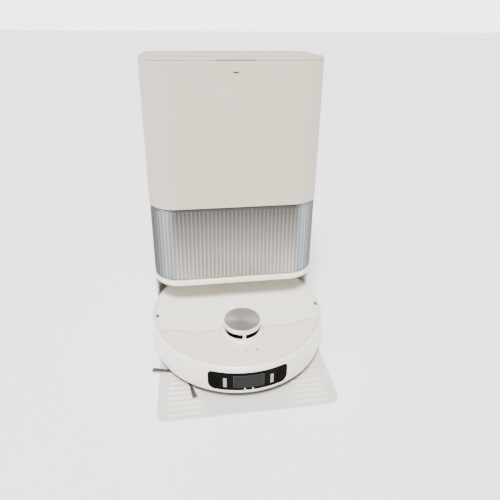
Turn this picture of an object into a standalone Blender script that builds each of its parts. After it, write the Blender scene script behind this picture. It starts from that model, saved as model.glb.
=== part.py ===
"""Robot vacuum cleaner docked in its tower-shaped base station.

Units are metres and +Z is up. The origin is on the floor, at the centre of the
whole object's footprint. The front, where the robot drives out, faces -Y.
Robot parts are children of the empty "robot_frame", so their own coordinates
start at the centre of the robot's underside.
"""

import bpy
import bmesh
from math import atan2, cos, degrees, pi, radians, sin, sqrt
from mathutils import Matrix, Vector

# ---------------------------------------------------------------- driving sizes
STATION_WIDTH = 0.340
STATION_HEIGHT = 0.568
OVERALL_DEPTH = 0.423
ROBOT_RADIUS = 0.175
ROBOT_HEIGHT = 0.0965

WALL = 0.003
GAP = 0.0004

BACK_Y = OVERALL_DEPTH / 2
RAMP_FRONT_Y = -OVERALL_DEPTH / 2
HALF_WIDTH = STATION_WIDTH / 2
FRONT_Y = 0.007
CORNER_FRONT = 0.055
CORNER_REAR = 0.040
SIDE_WALL_FRONT_Y = 0.0685

ROOF_BOTTOM, ROOF_TOP = 0.1205, 0.131
DOOR_BOTTOM, DOOR_TOP = 0.1325, 0.2885
FRONT_PANEL_BOTTOM = 0.290
SHELL_BOTTOM, SHELL_TOP = 0.004, 0.563
LID_BOTTOM = 0.5633

PLATE_TOP = 0.0026
RIB_TOP = 0.0034
BASE_TOP = 0.0036

HINGE_Y, HINGE_Z = BACK_Y - 0.005, 0.563
HINGE_RADIUS = 0.005
KNUCKLE_X = 0.090
ROD_RADIUS = 0.0015

ROD_HALF = 0.112

TRAY_HALF, TRAY_FRONT_Y, TRAY_BACK_Y, TRAY_CORNER = 0.134, 0.0195, 0.150, 0.006
LAMP_HALF, LAMP_LOW, LAMP_HIGH = 0.0046, 0.5430, 0.5444
INLET_X0, INLET_X1, INLET_Z0, INLET_Z1 = 0.095, 0.125, 0.030, 0.052
SHELF_BOTTOM, SHELF_TOP = 0.2905, 0.2945
TANK_TOP = 0.500
HANDLE_Z = 0.516
DUCT_X, DUCT_Y = 0.065, 0.1932
BAG_MOUTH = (-0.090, 0.100)
CONTACT_X, CONTACT_Z = 0.035, 0.046

ROBOT_Y, ROBOT_Z = -0.0095, 0.0035
DECK_RADIUS = 0.1668
COVER_RADIUS = 0.1672
DECK_TOP = 0.0712
TURRET_Y = -0.0775
BUMPER_END_Y, BUMPER_TOP, BUMPER_GAP = -0.0640, 0.0628, 0.0022
WHEEL_X, WHEEL_Y, WHEEL_RADIUS = 0.115, -0.008, 0.028
MOP_X, MOP_Y, MOP_RADIUS = 0.066, 0.090, 0.063
CASTER_Y = -0.118
BRUSH_Y, BRUSH_Z, BRUSH_RADIUS = -0.012, 0.0195, 0.018
SIDE_BRUSH = (-0.112, -0.102)
BUTTON_Y = -0.1345
SEAM_MIDDLE_X, SEAM_RIM_X = 0.097, 0.125
BIN_HALF, BIN_FRONT_Y, BIN_BACK_Y = 0.0730, 0.0100, 0.0730

ROUND = 60  # segments of the robot's outer ring
SMALL = 20  # segments of small round pieces


# ---------------------------------------------------------------- scene helpers
def clear_scene():
    for obj in list(bpy.data.objects):
        bpy.data.objects.remove(obj)


def collection(name):
    made = bpy.data.collections.new(name)
    bpy.context.scene.collection.children.link(made)
    return made


clear_scene()
PARTS = collection("robot_vacuum")
CUTTERS = collection("cutters")


def material(name, colour, roughness, metallic=0.0):
    found = bpy.data.materials.get(name)
    if found:
        return found
    made = bpy.data.materials.new(name)
    made.use_nodes = True
    shader = made.node_tree.nodes["Principled BSDF"]
    shader.inputs["Base Color"].default_value = (*colour, 1.0)
    shader.inputs["Roughness"].default_value = roughness
    shader.inputs["Metallic"].default_value = metallic
    return made


WHITE = material("white_plastic", (0.83, 0.81, 0.78), 0.45)
SILVER = material("silver_panel", (0.62, 0.61, 0.59), 0.28, 0.8)
BRUSHED = material("brushed_metal", (0.56, 0.54, 0.50), 0.35, 1.0)
BLACK_GLOSS = material("black_window", (0.02, 0.02, 0.022), 0.08)
DARK = material("dark_plastic", (0.07, 0.07, 0.075), 0.5)
GREY = material("grey_plastic", (0.42, 0.42, 0.43), 0.5)
LENS = material("lens_panel", (0.10, 0.10, 0.10), 0.2)
LIGHT = material("light_diffuser", (0.80, 0.77, 0.66), 0.4)
RUBBER = material("rubber", (0.05, 0.05, 0.05), 0.8)
STEEL = material("steel", (0.55, 0.55, 0.56), 0.3, 1.0)
GOLD = material("contact_metal", (0.75, 0.62, 0.35), 0.3, 1.0)
TANK = material("tank_plastic", (0.55, 0.60, 0.64), 0.2)
PAPER = material("bag_paper", (0.80, 0.78, 0.72), 0.9)
CARD = material("card", (0.70, 0.66, 0.55), 0.8)
BOARD = material("circuit_board", (0.03, 0.20, 0.10), 0.5)
PAD = material("mop_fabric", (0.50, 0.52, 0.55), 0.95)
FILTER = material("filter_paper", (0.85, 0.85, 0.82), 0.9)


def add_object(name, mesh, finish=None, where=(0, 0, 0), parent=None):
    """Links mesh as a node of the model, or as a hidden helper if it has no finish."""
    obj = bpy.data.objects.new(name, mesh)
    if finish:
        PARTS.objects.link(obj)
        mesh.materials.clear()
        mesh.materials.append(finish)
    else:
        CUTTERS.objects.link(obj)
        obj.hide_render = True
        obj.display_type = "WIRE"
    obj.location = where
    obj.parent = parent
    return obj


def empty(name, where, parent=None):
    obj = bpy.data.objects.new(name, None)
    PARTS.objects.link(obj)
    obj.location = where
    obj.parent = parent
    return obj


def smooth_shade(mesh, angle=35):
    mesh.shade_smooth()
    mesh.set_sharp_from_angle(angle=radians(angle))


# ---------------------------------------------------------------- shape helpers
def box(low, high):
    low, high = Vector(low), Vector(high)
    mesh = bpy.data.meshes.new("box")
    bm = bmesh.new()
    bmesh.ops.create_cube(bm, size=1.0)
    bmesh.ops.scale(bm, vec=high - low, verts=bm.verts)
    bmesh.ops.translate(bm, vec=(low + high) / 2, verts=bm.verts)
    bm.to_mesh(mesh)
    bm.free()
    return mesh


def boxes(corners):
    """One mesh of several boxes that don't meet, for a single Boolean."""
    mesh = bpy.data.meshes.new("boxes")
    bm = bmesh.new()
    for low, high in corners:
        bm.from_mesh(box(low, high))
    bm.to_mesh(mesh)
    bm.free()
    return mesh


def rod(radius, start, end, centre=(0, 0), axis="Z", segments=SMALL):
    """A cylinder from start to end along an axis; centre is its place across it."""
    mesh = bpy.data.meshes.new("rod")
    bm = bmesh.new()
    bmesh.ops.create_cone(
        bm,
        cap_ends=True,
        segments=segments,
        radius1=radius,
        radius2=radius,
        depth=end - start,
    )
    middle = (start + end) / 2
    turn, place = {
        "X": (Matrix.Rotation(pi / 2, 3, "Y"), (middle, *centre)),
        "Y": (Matrix.Rotation(pi / 2, 3, "X"), (centre[0], middle, centre[1])),
        "Z": (Matrix.Identity(3), (*centre, middle)),
    }[axis]
    bmesh.ops.rotate(bm, matrix=turn, verts=bm.verts)
    bmesh.ops.translate(bm, vec=place, verts=bm.verts)
    bm.to_mesh(mesh)
    bm.free()
    smooth_shade(mesh)
    return mesh


def evaluated_mesh(obj):
    """The object's mesh with its modifiers, loose caps welded; the object goes."""
    bpy.context.view_layer.update()
    graph = bpy.context.evaluated_depsgraph_get()
    mesh = bpy.data.meshes.new_from_object(obj.evaluated_get(graph))
    bpy.data.objects.remove(obj)
    bm = bmesh.new()
    bm.from_mesh(mesh)
    bmesh.ops.remove_doubles(bm, verts=bm.verts, dist=1e-6)
    bm.to_mesh(mesh)
    bm.free()
    return mesh


def slab(outlines, low, high):
    """A flat outline, with any further outlines as its holes, from height low to high."""
    curve = bpy.data.curves.new("slab", "CURVE")
    curve.dimensions = "2D"
    curve.fill_mode = "BOTH"
    curve.extrude = (high - low) / 2
    for outline in outlines:
        spline = curve.splines.new("POLY")
        spline.points.add(len(outline) - 1)
        for point, (x, y) in zip(spline.points, outline):
            point.co = (x, y, 0, 1)
        spline.use_cyclic_u = True
    mesh = evaluated_mesh(add_object("slab_curve", curve))
    mesh.transform(Matrix.Translation((0, 0, (low + high) / 2)))
    smooth_shade(mesh)
    return mesh


def turned(profile, segments=ROUND, closed=False, centre=(0, 0)):
    """A profile of (radius, height) points turned about Z, top to bottom outside."""
    mesh = bpy.data.meshes.new("profile")
    count = len(profile)
    edges = [(i, i + 1) for i in range(count - 1)]
    if closed:
        edges.append((count - 1, 0))
    mesh.from_pydata([(r, 0, z) for r, z in profile], edges, [])
    helper = add_object("turned", mesh)
    screw = helper.modifiers.new("Screw", "SCREW")
    screw.axis = "Z"
    screw.angle = 2 * pi
    screw.steps = segments
    screw.render_steps = segments
    screw.use_merge_vertices = True
    screw.merge_threshold = 1e-5
    made = evaluated_mesh(helper)
    made.transform(Matrix.Translation((*centre, 0)))
    smooth_shade(made)
    return made


def tube(points, radius, sides=2):
    """A round bar through points, with filled ends."""
    curve = bpy.data.curves.new("tube", "CURVE")
    curve.dimensions = "3D"
    curve.bevel_depth = radius
    curve.bevel_resolution = sides
    curve.use_fill_caps = True
    spline = curve.splines.new("POLY")
    spline.points.add(len(points) - 1)
    for point, place in zip(spline.points, points):
        point.co = (*place, 1)
    return evaluated_mesh(add_object("tube_curve", curve))


def boolean(obj, operation, mesh, where=(0, 0, 0)):
    helper = add_object(f"{obj.name}_{operation.lower()}", mesh, where=where)
    helper.parent = obj.parent
    step = obj.modifiers.new(operation.title(), "BOOLEAN")
    step.operation = operation
    step.solver = "EXACT"
    step.object = helper


def cut(obj, *meshes, where=(0, 0, 0)):
    for mesh in meshes:
        boolean(obj, "DIFFERENCE", mesh, where)


def fuse(obj, *meshes, where=(0, 0, 0)):
    for mesh in meshes:
        boolean(obj, "UNION", mesh, where)


# ---------------------------------------------------------------- outlines
def arc(centre, radius, start, end, steps=8):
    """Points on an arc, with its angles in degrees from +X."""
    angles = [radians(start + (end - start) * i / steps) for i in range(steps + 1)]
    return [(centre[0] + radius * cos(a), centre[1] + radius * sin(a)) for a in angles]


def rounded(x0, x1, y0, y1, radii, steps=8):
    """A rectangle whose corner radii run front right, rear right, rear left, front left."""
    corners = (
        (x1, y0, -1, 1, -90),
        (x1, y1, -1, -1, 0),
        (x0, y1, 1, -1, 90),
        (x0, y0, 1, 1, 180),
    )
    points = []
    for (x, y, dx, dy, start), radius in zip(corners, radii):
        centre = (x + dx * radius, y + dy * radius)
        points += arc(centre, radius, start, start + 90, steps)
    return points


def tower_outline(inset=0.0):
    front, rear = CORNER_FRONT - inset, CORNER_REAR - inset
    return rounded(
        -HALF_WIDTH + inset,
        HALF_WIDTH - inset,
        FRONT_Y + inset,
        BACK_Y - inset,
        (front, rear, rear, front),
    )


def sector(inner, outer, half_angle, steps=12, middle=-90):
    """A ring segment centred on an angle, the front of the robot by default."""
    outside = arc((0, 0), outer, middle - half_angle, middle + half_angle, steps)
    inside = arc((0, 0), inner, middle + half_angle, middle - half_angle, steps)
    return outside + inside


def seam_y(x):
    """The seam across the robot's top: level at the turret, stepping to the rear near the rim."""
    middle_y, rim_y = -0.0738, -0.0632
    t = (abs(x) - SEAM_MIDDLE_X) / (SEAM_RIM_X - SEAM_MIDDLE_X)
    t = min(1.0, max(0.0, t))
    slope = 0.01 * max(0.0, abs(x) - SEAM_RIM_X)
    return middle_y + (rim_y - middle_y) * t * t * (3 - 2 * t) + slope


def seam_points(radius, shift):
    """Points along the seam from left to right, ending on a circle of that radius."""
    end_y = seam_y(radius) + shift
    end_x = sqrt(radius**2 - end_y**2)
    bends = [SEAM_MIDDLE_X + (SEAM_RIM_X - SEAM_MIDDLE_X) * i / 4 for i in range(5)]
    xs = [-end_x, *[-x for x in reversed(bends)], *bends, end_x]
    return [(x, seam_y(x) + shift) for x in xs]


# ---------------------------------------------------------------- base station
def build_base():
    """The floor plate under the tower and the thin ramp that the robot drives over."""
    step_y, neck_half, neck_y = 0.0620, 0.160, 0.0125
    outline = rounded(
        -HALF_WIDTH, HALF_WIDTH, step_y, BACK_Y, (0.001, CORNER_REAR, CORNER_REAR, 0.001)
    )
    neck = [(-neck_half, step_y), (-neck_half, neck_y), (neck_half, neck_y), (neck_half, step_y)]
    outline += neck
    opening = rounded(-TRAY_HALF, TRAY_HALF, TRAY_FRONT_Y, TRAY_BACK_Y, (TRAY_CORNER,) * 4, 3)
    add_object("base_plate", slab([outline, opening], 0.0, BASE_TOP), WHITE)

    corners = (0.018, 0.003, 0.003, 0.018)
    ramp = rounded(-neck_half, neck_half, RAMP_FRONT_Y, neck_y - 0.0005, corners, 6)
    plate = add_object("ramp_plate", slab([ramp], 0.0, PLATE_TOP), WHITE)
    first_y, pitch, width, rows = RAMP_FRONT_Y + 0.0085, 0.0115, 0.0055, 11
    inner, outer = 0.083, 0.141
    ribs = []
    for row in range(rows):
        y = first_y + pitch * row
        for x0, x1 in ((-outer, -inner), (inner, outer)):
            ribs.append(((x0, y, PLATE_TOP - 0.001), (x1, y + width, RIB_TOP)))
    fuse(plate, boxes(ribs))


def build_washboard():
    """The tray that scrubs the mop pads, with radial ribs under each pad."""
    half, front_y, back_y = TRAY_HALF - GAP, TRAY_FRONT_Y + GAP, TRAY_BACK_Y - GAP
    floor_top, inner, outer, half_bar, bar_count = 0.0022, 0.016, 0.052, 0.0025, 8
    outline = rounded(-half, half, front_y, back_y, (TRAY_CORNER,) * 4, 3)
    board = add_object("washboard", slab([outline], GAP, floor_top), GREY)
    bars = bpy.data.meshes.new("bars")
    bm = bmesh.new()
    for side in (-1, 1):
        for turn in range(bar_count):
            bar = box((inner, -half_bar, floor_top - 0.0007), (outer, half_bar, RIB_TOP))
            place = Matrix.Translation((side * MOP_X, MOP_Y + ROBOT_Y, 0))
            angle = radians(360 / bar_count * (turn + 0.5))
            bar.transform(place @ Matrix.Rotation(angle, 4, "Z"))
            bm.from_mesh(bar)
    bm.to_mesh(bars)
    bm.free()
    fuse(board, bars)


def build_tower_shell():
    """The tower's outer wall, open at the front for the dust cover and the garage."""
    shell = add_object(
        "tower_shell",
        slab([tower_outline(), tower_outline(WALL)], SHELL_BOTTOM, SHELL_TOP),
        WHITE,
    )
    cut(shell, box((-0.2, -0.05, -0.01), (0.2, SIDE_WALL_FRONT_Y, FRONT_PANEL_BOTTOM)))
    notch_half = 0.152
    notch_low = (-notch_half, HINGE_Y - 0.006, HINGE_Z - 0.0053)
    cut(shell, box(notch_low, (notch_half, 0.25, 0.6)))
    lamp_half = LAMP_HALF + GAP
    cut(shell, box((-lamp_half, -0.01, LAMP_LOW - GAP), (lamp_half, 0.02, LAMP_HIGH + GAP)))
    cut(
        shell,
        box(
            (INLET_X0 - GAP, 0.20, INLET_Z0 - GAP),
            (INLET_X1 + GAP, 0.25, INLET_Z1 + GAP),
        ),
    )
    vent_x0, vent_x1, vent_z, vent_pitch, vent_height = -0.120, -0.060, 0.150, 0.012, 0.005
    vents = []
    for row in range(5):
        z = vent_z + vent_pitch * row
        vents.append(((vent_x0, 0.20, z), (vent_x1, 0.25, z + vent_height)))
    cut(shell, boxes(vents))
    half, knuckle_radius = 0.008, 0.0046
    for side in (-1, 1):
        x = side * KNUCKLE_X
        post_low = (x - half, HINGE_Y - 0.0044, HINGE_Z - 0.013)
        fuse(shell, box(post_low, (x + half, HINGE_Y + 0.0042, HINGE_Z)))
        fuse(shell, rod(knuckle_radius, x - half, x + half, (HINGE_Y, HINGE_Z), "X"))
    bore_end = ROD_HALF + GAP
    cut(shell, rod(ROD_RADIUS + GAP, -bore_end, bore_end, (HINGE_Y, HINGE_Z), "X", 12))


def build_garage_roof():
    """The white strip under the ribbed door, which is the front edge of the garage's roof."""
    radius, centre_x, centre_y = 0.058, 0.112, 0.0615
    inner_x, back_y, step_y = 0.1665, 0.2080, SIDE_WALL_FRONT_Y - 0.0005
    rear = 0.0365
    outline = arc((centre_x, centre_y), radius, -90, 0)
    outline += [(HALF_WIDTH, step_y), (inner_x, step_y)]
    outline += arc((inner_x - rear, back_y - rear), rear, 0, 90)
    outline += arc((-inner_x + rear, back_y - rear), rear, 90, 180)
    outline += [(-inner_x, step_y), (-HALF_WIDTH, step_y)]
    outline += arc((-centre_x, centre_y), radius, 180, 270)
    roof = add_object("garage_roof", slab([outline], ROOF_BOTTOM, ROOF_TOP), WHITE)
    half, front_y, rear_y = 0.160, 0.016, 0.200
    pocket = rounded(-half, half, front_y, rear_y, (0.050, 0.030, 0.030, 0.050), 4)
    cut(roof, slab([pocket], ROOF_BOTTOM + WALL, ROOF_TOP + 0.01))
    cut(roof, rod(0.0125, 0.10, 0.15, (DUCT_X, DUCT_Y), "Z", 16))


def build_dock_panel():
    """The garage's rear wall, with the dust port and the two charging contacts."""
    half, front_y, thickness = 0.1655, 0.1765, 0.0035
    low, high = (-half, front_y, SHELL_BOTTOM + 0.0002), (half, front_y + thickness, 0.1200)
    panel = add_object("dock_panel", box(low, high), GREY)
    cut(panel, rod(0.0150, 0.17, 0.19, (DUCT_X, CONTACT_Z), "Y", 20))
    half_pin, pin_length, pin_front_y = 0.0060, 0.0260, 0.1640
    half_slot = half_pin + GAP
    for side, name in ((-1, "dock_contact_left"), (1, "dock_contact_right")):
        x = side * CONTACT_X
        slot_low = (x - half_slot, 0.17, CONTACT_Z - half_slot)
        cut(panel, box(slot_low, (x + half_slot, 0.19, CONTACT_Z + half_slot)))
        pin = box((-half_pin, 0, -half_pin), (half_pin, pin_length, half_pin))
        add_object(name, pin, GOLD, (x, pin_front_y, CONTACT_Z))


def build_lid():
    """The top lid with its hinge bar, finger grip and the steel rod it turns on."""
    at = (0, HINGE_Y, HINGE_Z)
    to_hinge = Matrix.Translation((0, -HINGE_Y, 0))
    panel = slab([tower_outline()], LID_BOTTOM - HINGE_Z, STATION_HEIGHT - HINGE_Z)
    panel.transform(to_hinge)
    lid = add_object("station_lid", panel, WHITE, at)
    bar = add_object("hinge_bar", rod(HINGE_RADIUS, -0.149, 0.149, (0, 0), "X"), where=at)
    prism = slab([tower_outline(0.0002)], -0.02, 0.02)
    prism.transform(to_hinge)
    boolean(bar, "INTERSECT", prism, at)
    step = lid.modifiers.new("Bar", "BOOLEAN")
    step.operation = "UNION"
    step.object = bar
    notch_half = 0.008 + GAP
    notches = [
        ((x - notch_half, -0.006, -0.02), (x + notch_half, 0.02, 0.02))
        for x in (-KNUCKLE_X, KNUCKLE_X)
    ]
    cut(lid, boxes(notches), where=at)
    bore_end = ROD_HALF + GAP
    cut(lid, rod(ROD_RADIUS + GAP, -bore_end, bore_end, (0, 0), "X", 12), where=at)
    grip_half, grip_depth, grip_top = 0.034, 0.006, 0.0027
    grip_back = FRONT_Y + grip_depth - HINGE_Y
    cut(lid, box((-grip_half, -0.21, -0.001), (grip_half, grip_back, grip_top)), where=at)
    add_object("lid_hinge_rod", rod(ROD_RADIUS, -ROD_HALF, ROD_HALF, (0, 0), "X", 12), STEEL, at)


def build_tank(side, name):
    """A lift-out water tank with its cap and its folding handle; side is -1 or 1."""
    x0, x1 = sorted((side * 0.163, side * 0.004))
    outer_front, outer_rear, inner = 0.048, 0.030, 0.008
    radii = (inner, inner, outer_rear, outer_front)
    if side > 0:
        radii = (outer_front, outer_rear, inner, inner)
    y0, y1, floor, wall = 0.0145, 0.2040, SHELF_TOP + 0.003, 0.0025
    outline = rounded(x0, x1, y0, y1, radii, 6)
    body = add_object(name, slab([outline], floor, TANK_TOP), TANK)
    inside = rounded(
        x0 + wall, x1 - wall, y0 + wall, y1 - wall, [r - wall for r in radii], 6
    )
    cut(body, slab([inside], floor + wall, TANK_TOP + 0.02))

    cap_low, cap_top = TANK_TOP + GAP, TANK_TOP + 0.010
    cap = add_object(f"{name}_cap", slab([outline], cap_low, cap_top), GREY)
    middle, pivot_y = (x0 + x1) / 2, 0.085
    half_span, leg, bar, bend = 0.050, 0.032, 0.0025, 0.008
    half_lug, lug_depth, lug_top = 0.004, 0.005, HANDLE_Z + 0.0045
    lugs = []
    for end in (-1, 1):
        x = middle + end * (half_span - 0.008)
        low = (x - half_lug, pivot_y - lug_depth, cap_top - 0.002)
        lugs.append((low, (x + half_lug, pivot_y + lug_depth, lug_top)))
    fuse(cap, boxes(lugs))
    reach = half_span + 0.005
    bore = rod(bar + GAP, middle - reach, middle + reach, (pivot_y, HANDLE_Z), "X", 12)
    cut(cap, bore)
    pin = 0.012
    path = [(-half_span + pin, 0), (-half_span, 0)]
    path += arc((-half_span + bend, leg - bend), bend, 180, 90, 4)
    path += arc((half_span - bend, leg - bend), bend, 90, 0, 4)
    path += [(half_span, 0), (half_span - pin, 0)]
    handle = tube([(x, y, 0) for x, y in path], bar)
    add_object(f"{name}_handle", handle, DARK, (middle, pivot_y, HANDLE_Z))


def build_tank_shelf():
    outline = tower_outline(WALL + 0.0005)
    add_object("tank_shelf", slab([outline], SHELF_BOTTOM, SHELF_TOP), GREY)


def build_dust_door():
    """The ribbed silver cover of the dust compartment, which wraps round both front corners."""
    centre_x, centre_y, radius, end_y = 0.115, 0.0625, 0.053, 0.0665
    outline = []
    for r, forward in ((radius, True), (radius - WALL, False)):
        path = [(-centre_x - r, end_y)]
        path += arc((-centre_x, centre_y), r, 180, 270)
        path += arc((centre_x, centre_y), r, 270, 360)
        path += [(centre_x + r, end_y)]
        outline += path if forward else path[::-1]
    add_object("dust_door", slab([outline], DOOR_BOTTOM, DOOR_TOP), SILVER)


def build_dust_bag():
    """The paper bag, hung from a card collar with a hole for the duct."""
    x0, x1, y0, y1, low, high = -0.145, -0.035, 0.030, 0.165, 0.140, 0.264
    bag = add_object("dust_bag", box((x0, y0, low), (x1, y1, high)), PAPER)
    rounding = bag.modifiers.new("Bevel", "BEVEL")
    rounding.width = 0.018
    rounding.segments = 3
    lip, collar_y0, collar_y1, thickness = 0.003, 0.045, 0.155, 0.0035
    collar_low = high + 0.0005
    collar_top = collar_low + thickness
    collar_box = box((x0 - lip, collar_y0, collar_low), (x1 + lip, collar_y1, collar_top))
    collar = add_object("bag_collar", collar_box, CARD)
    cut(collar, rod(0.014, 0.25, 0.28, BAG_MOUTH, "Z", 20))


def build_duct():
    """A hollow pipe from the dust port up behind the garage to the bag's collar."""
    radius, wall, foot_z, top_z, bend, slope = 0.010, 0.0015, 0.030, 0.279, 0.016, 0.55
    points = [(DUCT_X, DUCT_Y, foot_z), (DUCT_X, DUCT_Y, top_z - bend)]
    goal = Vector((*BAG_MOUTH, top_z))
    run = Vector((goal.x - DUCT_X, goal.y - DUCT_Y, 0)).normalized()
    for i in range(1, 5):
        a = radians(90 * i / 4)
        ahead = run * bend * (1 - cos(a))
        points.append((DUCT_X + ahead.x, DUCT_Y + ahead.y, top_z - bend + bend * sin(a)))
    start = goal - run * bend
    for i in range(5):
        a = radians(90 * i / 4 * slope)
        ahead = start + run * bend * sin(a)
        points.append((ahead.x, ahead.y, top_z - bend * (1 - cos(a))))
    curve = bpy.data.curves.new("duct", "CURVE")
    curve.dimensions = "3D"
    curve.bevel_depth = radius
    curve.bevel_resolution = 3
    spline = curve.splines.new("POLY")
    spline.points.add(len(points) - 1)
    for point, place in zip(spline.points, points):
        point.co = (*place, 1)
    duct = add_object("dust_duct", evaluated_mesh(add_object("duct_curve", curve)), DARK)
    skin = duct.modifiers.new("Solidify", "SOLIDIFY")
    skin.thickness = wall
    skin.offset = -1.0


def build_suction_motor():
    centre, radius, neck, base, low, high = (0.075, 0.110), 0.042, 0.030, 0.034, 0.136, 0.232
    motor = [
        (0, high),
        (neck, high),
        (radius, high - 0.008),
        (radius, low + 0.014),
        (base, low),
        (0, low),
    ]
    add_object("suction_motor", turned(motor, 28, centre=centre), DARK)


def build_station_electrics():
    """The circuit board on the right, the power inlet at the back and the status light."""
    x, y0, y1, low, high, thickness = 0.1310, 0.080, 0.175, 0.140, 0.230, 0.0016
    add_object("station_board", box((x, y0, low), (x + thickness, y1, high)), BOARD)
    front_y, back_y, wall, floor_y = 0.1900, BACK_Y - 0.0003, 0.005, 0.1990
    body = box((INLET_X0, front_y, INLET_Z0), (INLET_X1, back_y, INLET_Z1))
    inlet = add_object("power_inlet", body, DARK)
    socket_low = (INLET_X0 + wall, floor_y, INLET_Z0 + wall - 0.001)
    cut(inlet, box(socket_low, (INLET_X1 - wall, 0.2200, INLET_Z1 - wall + 0.001)))
    lamp_depth = 0.0021
    lamp_low = (-LAMP_HALF, FRONT_Y + GAP, LAMP_LOW)
    lamp = box(lamp_low, (LAMP_HALF, FRONT_Y + GAP + lamp_depth, LAMP_HIGH))
    add_object("status_light", lamp, LIGHT)


# ---------------------------------------------------------------- robot shells
def build_outer_skin(robot):
    """The fixed side wall with its full rim on top, and the sprung bumper under the rim."""
    lip, outer, skin = 0.1679, ROBOT_RADIUS, 0.0025
    inner = outer - skin
    foot, straight, side_foot, bumper_foot = 0.0015, 0.0270, 0.0190, 0.0130
    wall = [
        (lip, DECK_TOP - 0.0004),
        (outer - 0.0047, DECK_TOP - 0.0006),
        (outer - 0.0024, DECK_TOP - 0.0020),
        (outer - 0.0007, DECK_TOP - 0.0052),
        (outer, DECK_TOP - 0.0102),
        (outer, straight),
        (outer - foot, side_foot),
        (inner - foot, side_foot),
        (inner, straight),
        (inner, DECK_TOP - 0.0112),
        (inner - 0.0017, DECK_TOP - 0.0042),
        (lip, DECK_TOP - 0.0027),
    ]
    side = add_object("side_shell", turned(wall, closed=True), WHITE, parent=robot)
    cut(side, box((-0.2, -0.2, -0.01), (0.2, BUMPER_END_Y + BUMPER_GAP, BUMPER_TOP + 0.0006)))

    front = [
        (outer - 0.0001, BUMPER_TOP),
        (outer, BUMPER_TOP - 0.0028),
        (outer, straight),
        (outer - foot, bumper_foot),
        (inner - foot, bumper_foot),
        (inner, straight),
        (inner, BUMPER_TOP),
    ]
    bumper = add_object("bumper", turned(front, closed=True), WHITE, parent=robot)
    cut(bumper, box((-0.2, BUMPER_END_Y, -0.01), (0.2, 0.2, 0.1)))
    half, low, high, corner = 0.0712, 0.0205, 0.0595, 0.009
    window = slab([rounded(-half, half, low, high, (corner,) * 4, 4)], 0.14, 0.20)
    window.transform(Matrix.Rotation(radians(90), 4, "X"))
    cut(bumper, window)


def build_window(robot):
    """The black window behind the bumper's opening, with the camera panel and two lights."""
    window_in, window_out, face = 0.1695, 0.1712, 0.1717
    panel = slab([sector(window_in, window_out, 25.5, 14)], 0.0190, 0.0625)
    add_object("sensor_window", panel, BLACK_GLOSS, parent=robot)
    camera = slab([sector(face, face + 0.0019, 9.0, 6)], 0.0270, 0.0535)
    add_object("camera_panel", camera, LENS, parent=robot)
    light_angle, half_light = 13.8, 1.2
    for side, name in ((-1, "light_left"), (1, "light_right")):
        outline = sector(face, face + 0.0016, half_light, 2, -90 + side * light_angle)
        add_object(name, slab([outline], 0.0275, 0.0475), LIGHT, parent=robot)


def build_chassis(robot):
    """The tub that carries everything, with wells for the wheels, brushes, caster and mops."""
    wall_in, wall_out, floor, floor_top, wall_top = 0.1605, 0.1630, 0.0095, 0.0125, 0.0620
    tub = [
        (0, floor_top),
        (wall_in, floor_top),
        (wall_in, wall_top),
        (wall_out, wall_top),
        (wall_out, floor + 0.002),
        (wall_out - 0.002, floor),
        (0, floor),
    ]
    chassis = add_object("chassis", turned(tub), DARK, parent=robot)
    well_in, well_out, well_front_y, well_back_y, well_top = 0.093, 0.130, -0.064, 0.026, 0.03
    brush_half_x, brush_half_y = 0.088, 0.022
    wells = [
        ((-well_out, well_front_y, 0), (-well_in, well_back_y, well_top)),
        ((well_in, well_front_y, 0), (well_out, well_back_y, well_top)),
        (
            (-brush_half_x, BRUSH_Y - brush_half_y, 0),
            (brush_half_x, BRUSH_Y + brush_half_y, well_top),
        ),
    ]
    cut(chassis, boxes(wells))
    cut(chassis, rod(0.027, 0, well_top, (0, CASTER_Y), "Z", 28))
    cut(chassis, rod(0.0050, 0, well_top, SIDE_BRUSH, "Z", 12))
    for side in (-1, 1):
        well = rod(MOP_RADIUS + 0.0052, 0, 0.0215, (side * MOP_X, MOP_Y), "Z", 28)
        cut(chassis, well)


def build_top(robot):
    """The fixed front deck and the hinged rear cover, which meet at the seam."""
    half_gap, well, deck_low, cover_low = 0.0003, 0.0412, 0.0635, 0.0664
    seam = seam_points(DECK_RADIUS, -half_gap)
    start = degrees(atan2(seam[0][1], seam[0][0]))
    end = degrees(atan2(seam[-1][1], seam[-1][0]))
    front = arc((0, 0), DECK_RADIUS, start, end, 36)[1:-1] + seam[::-1]
    deck = add_object("top_deck", slab([front], deck_low, DECK_TOP), WHITE, parent=robot)
    ledge_radius = DECK_RADIUS - 0.0016
    fuse(deck, rod(ledge_radius, deck_low + 0.0002, cover_low - 0.0004, (0, 0), "Z", ROUND))
    cut(deck, rod(well, 0.05, 0.08, (0, TURRET_Y), "Z", 34))
    half, depth = 0.0304, 0.0054
    keys = rounded(-half, half, BUTTON_Y - depth, BUTTON_Y + depth, (depth - 0.0001,) * 4, 5)
    cut(deck, slab([keys], 0.05, 0.08))
    margin = 0.0015
    cut(
        deck,
        box(
            (-BIN_HALF - margin, BIN_FRONT_Y - margin, 0.05),
            (BIN_HALF + margin, BIN_BACK_Y + margin, 0.08),
        ),
    )

    seam = seam_points(COVER_RADIUS, half_gap)
    start = degrees(atan2(seam[-1][1], seam[-1][0]))
    end = degrees(atan2(seam[0][1], seam[0][0])) + 360
    rear = arc((0, 0), COVER_RADIUS, start, end, 44)[1:-1] + seam
    cover = add_object("rear_cover", slab([rear], cover_low, DECK_TOP), WHITE, parent=robot)
    cut(cover, rod(well, 0.05, 0.08, (0, TURRET_Y), "Z", 34))


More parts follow.
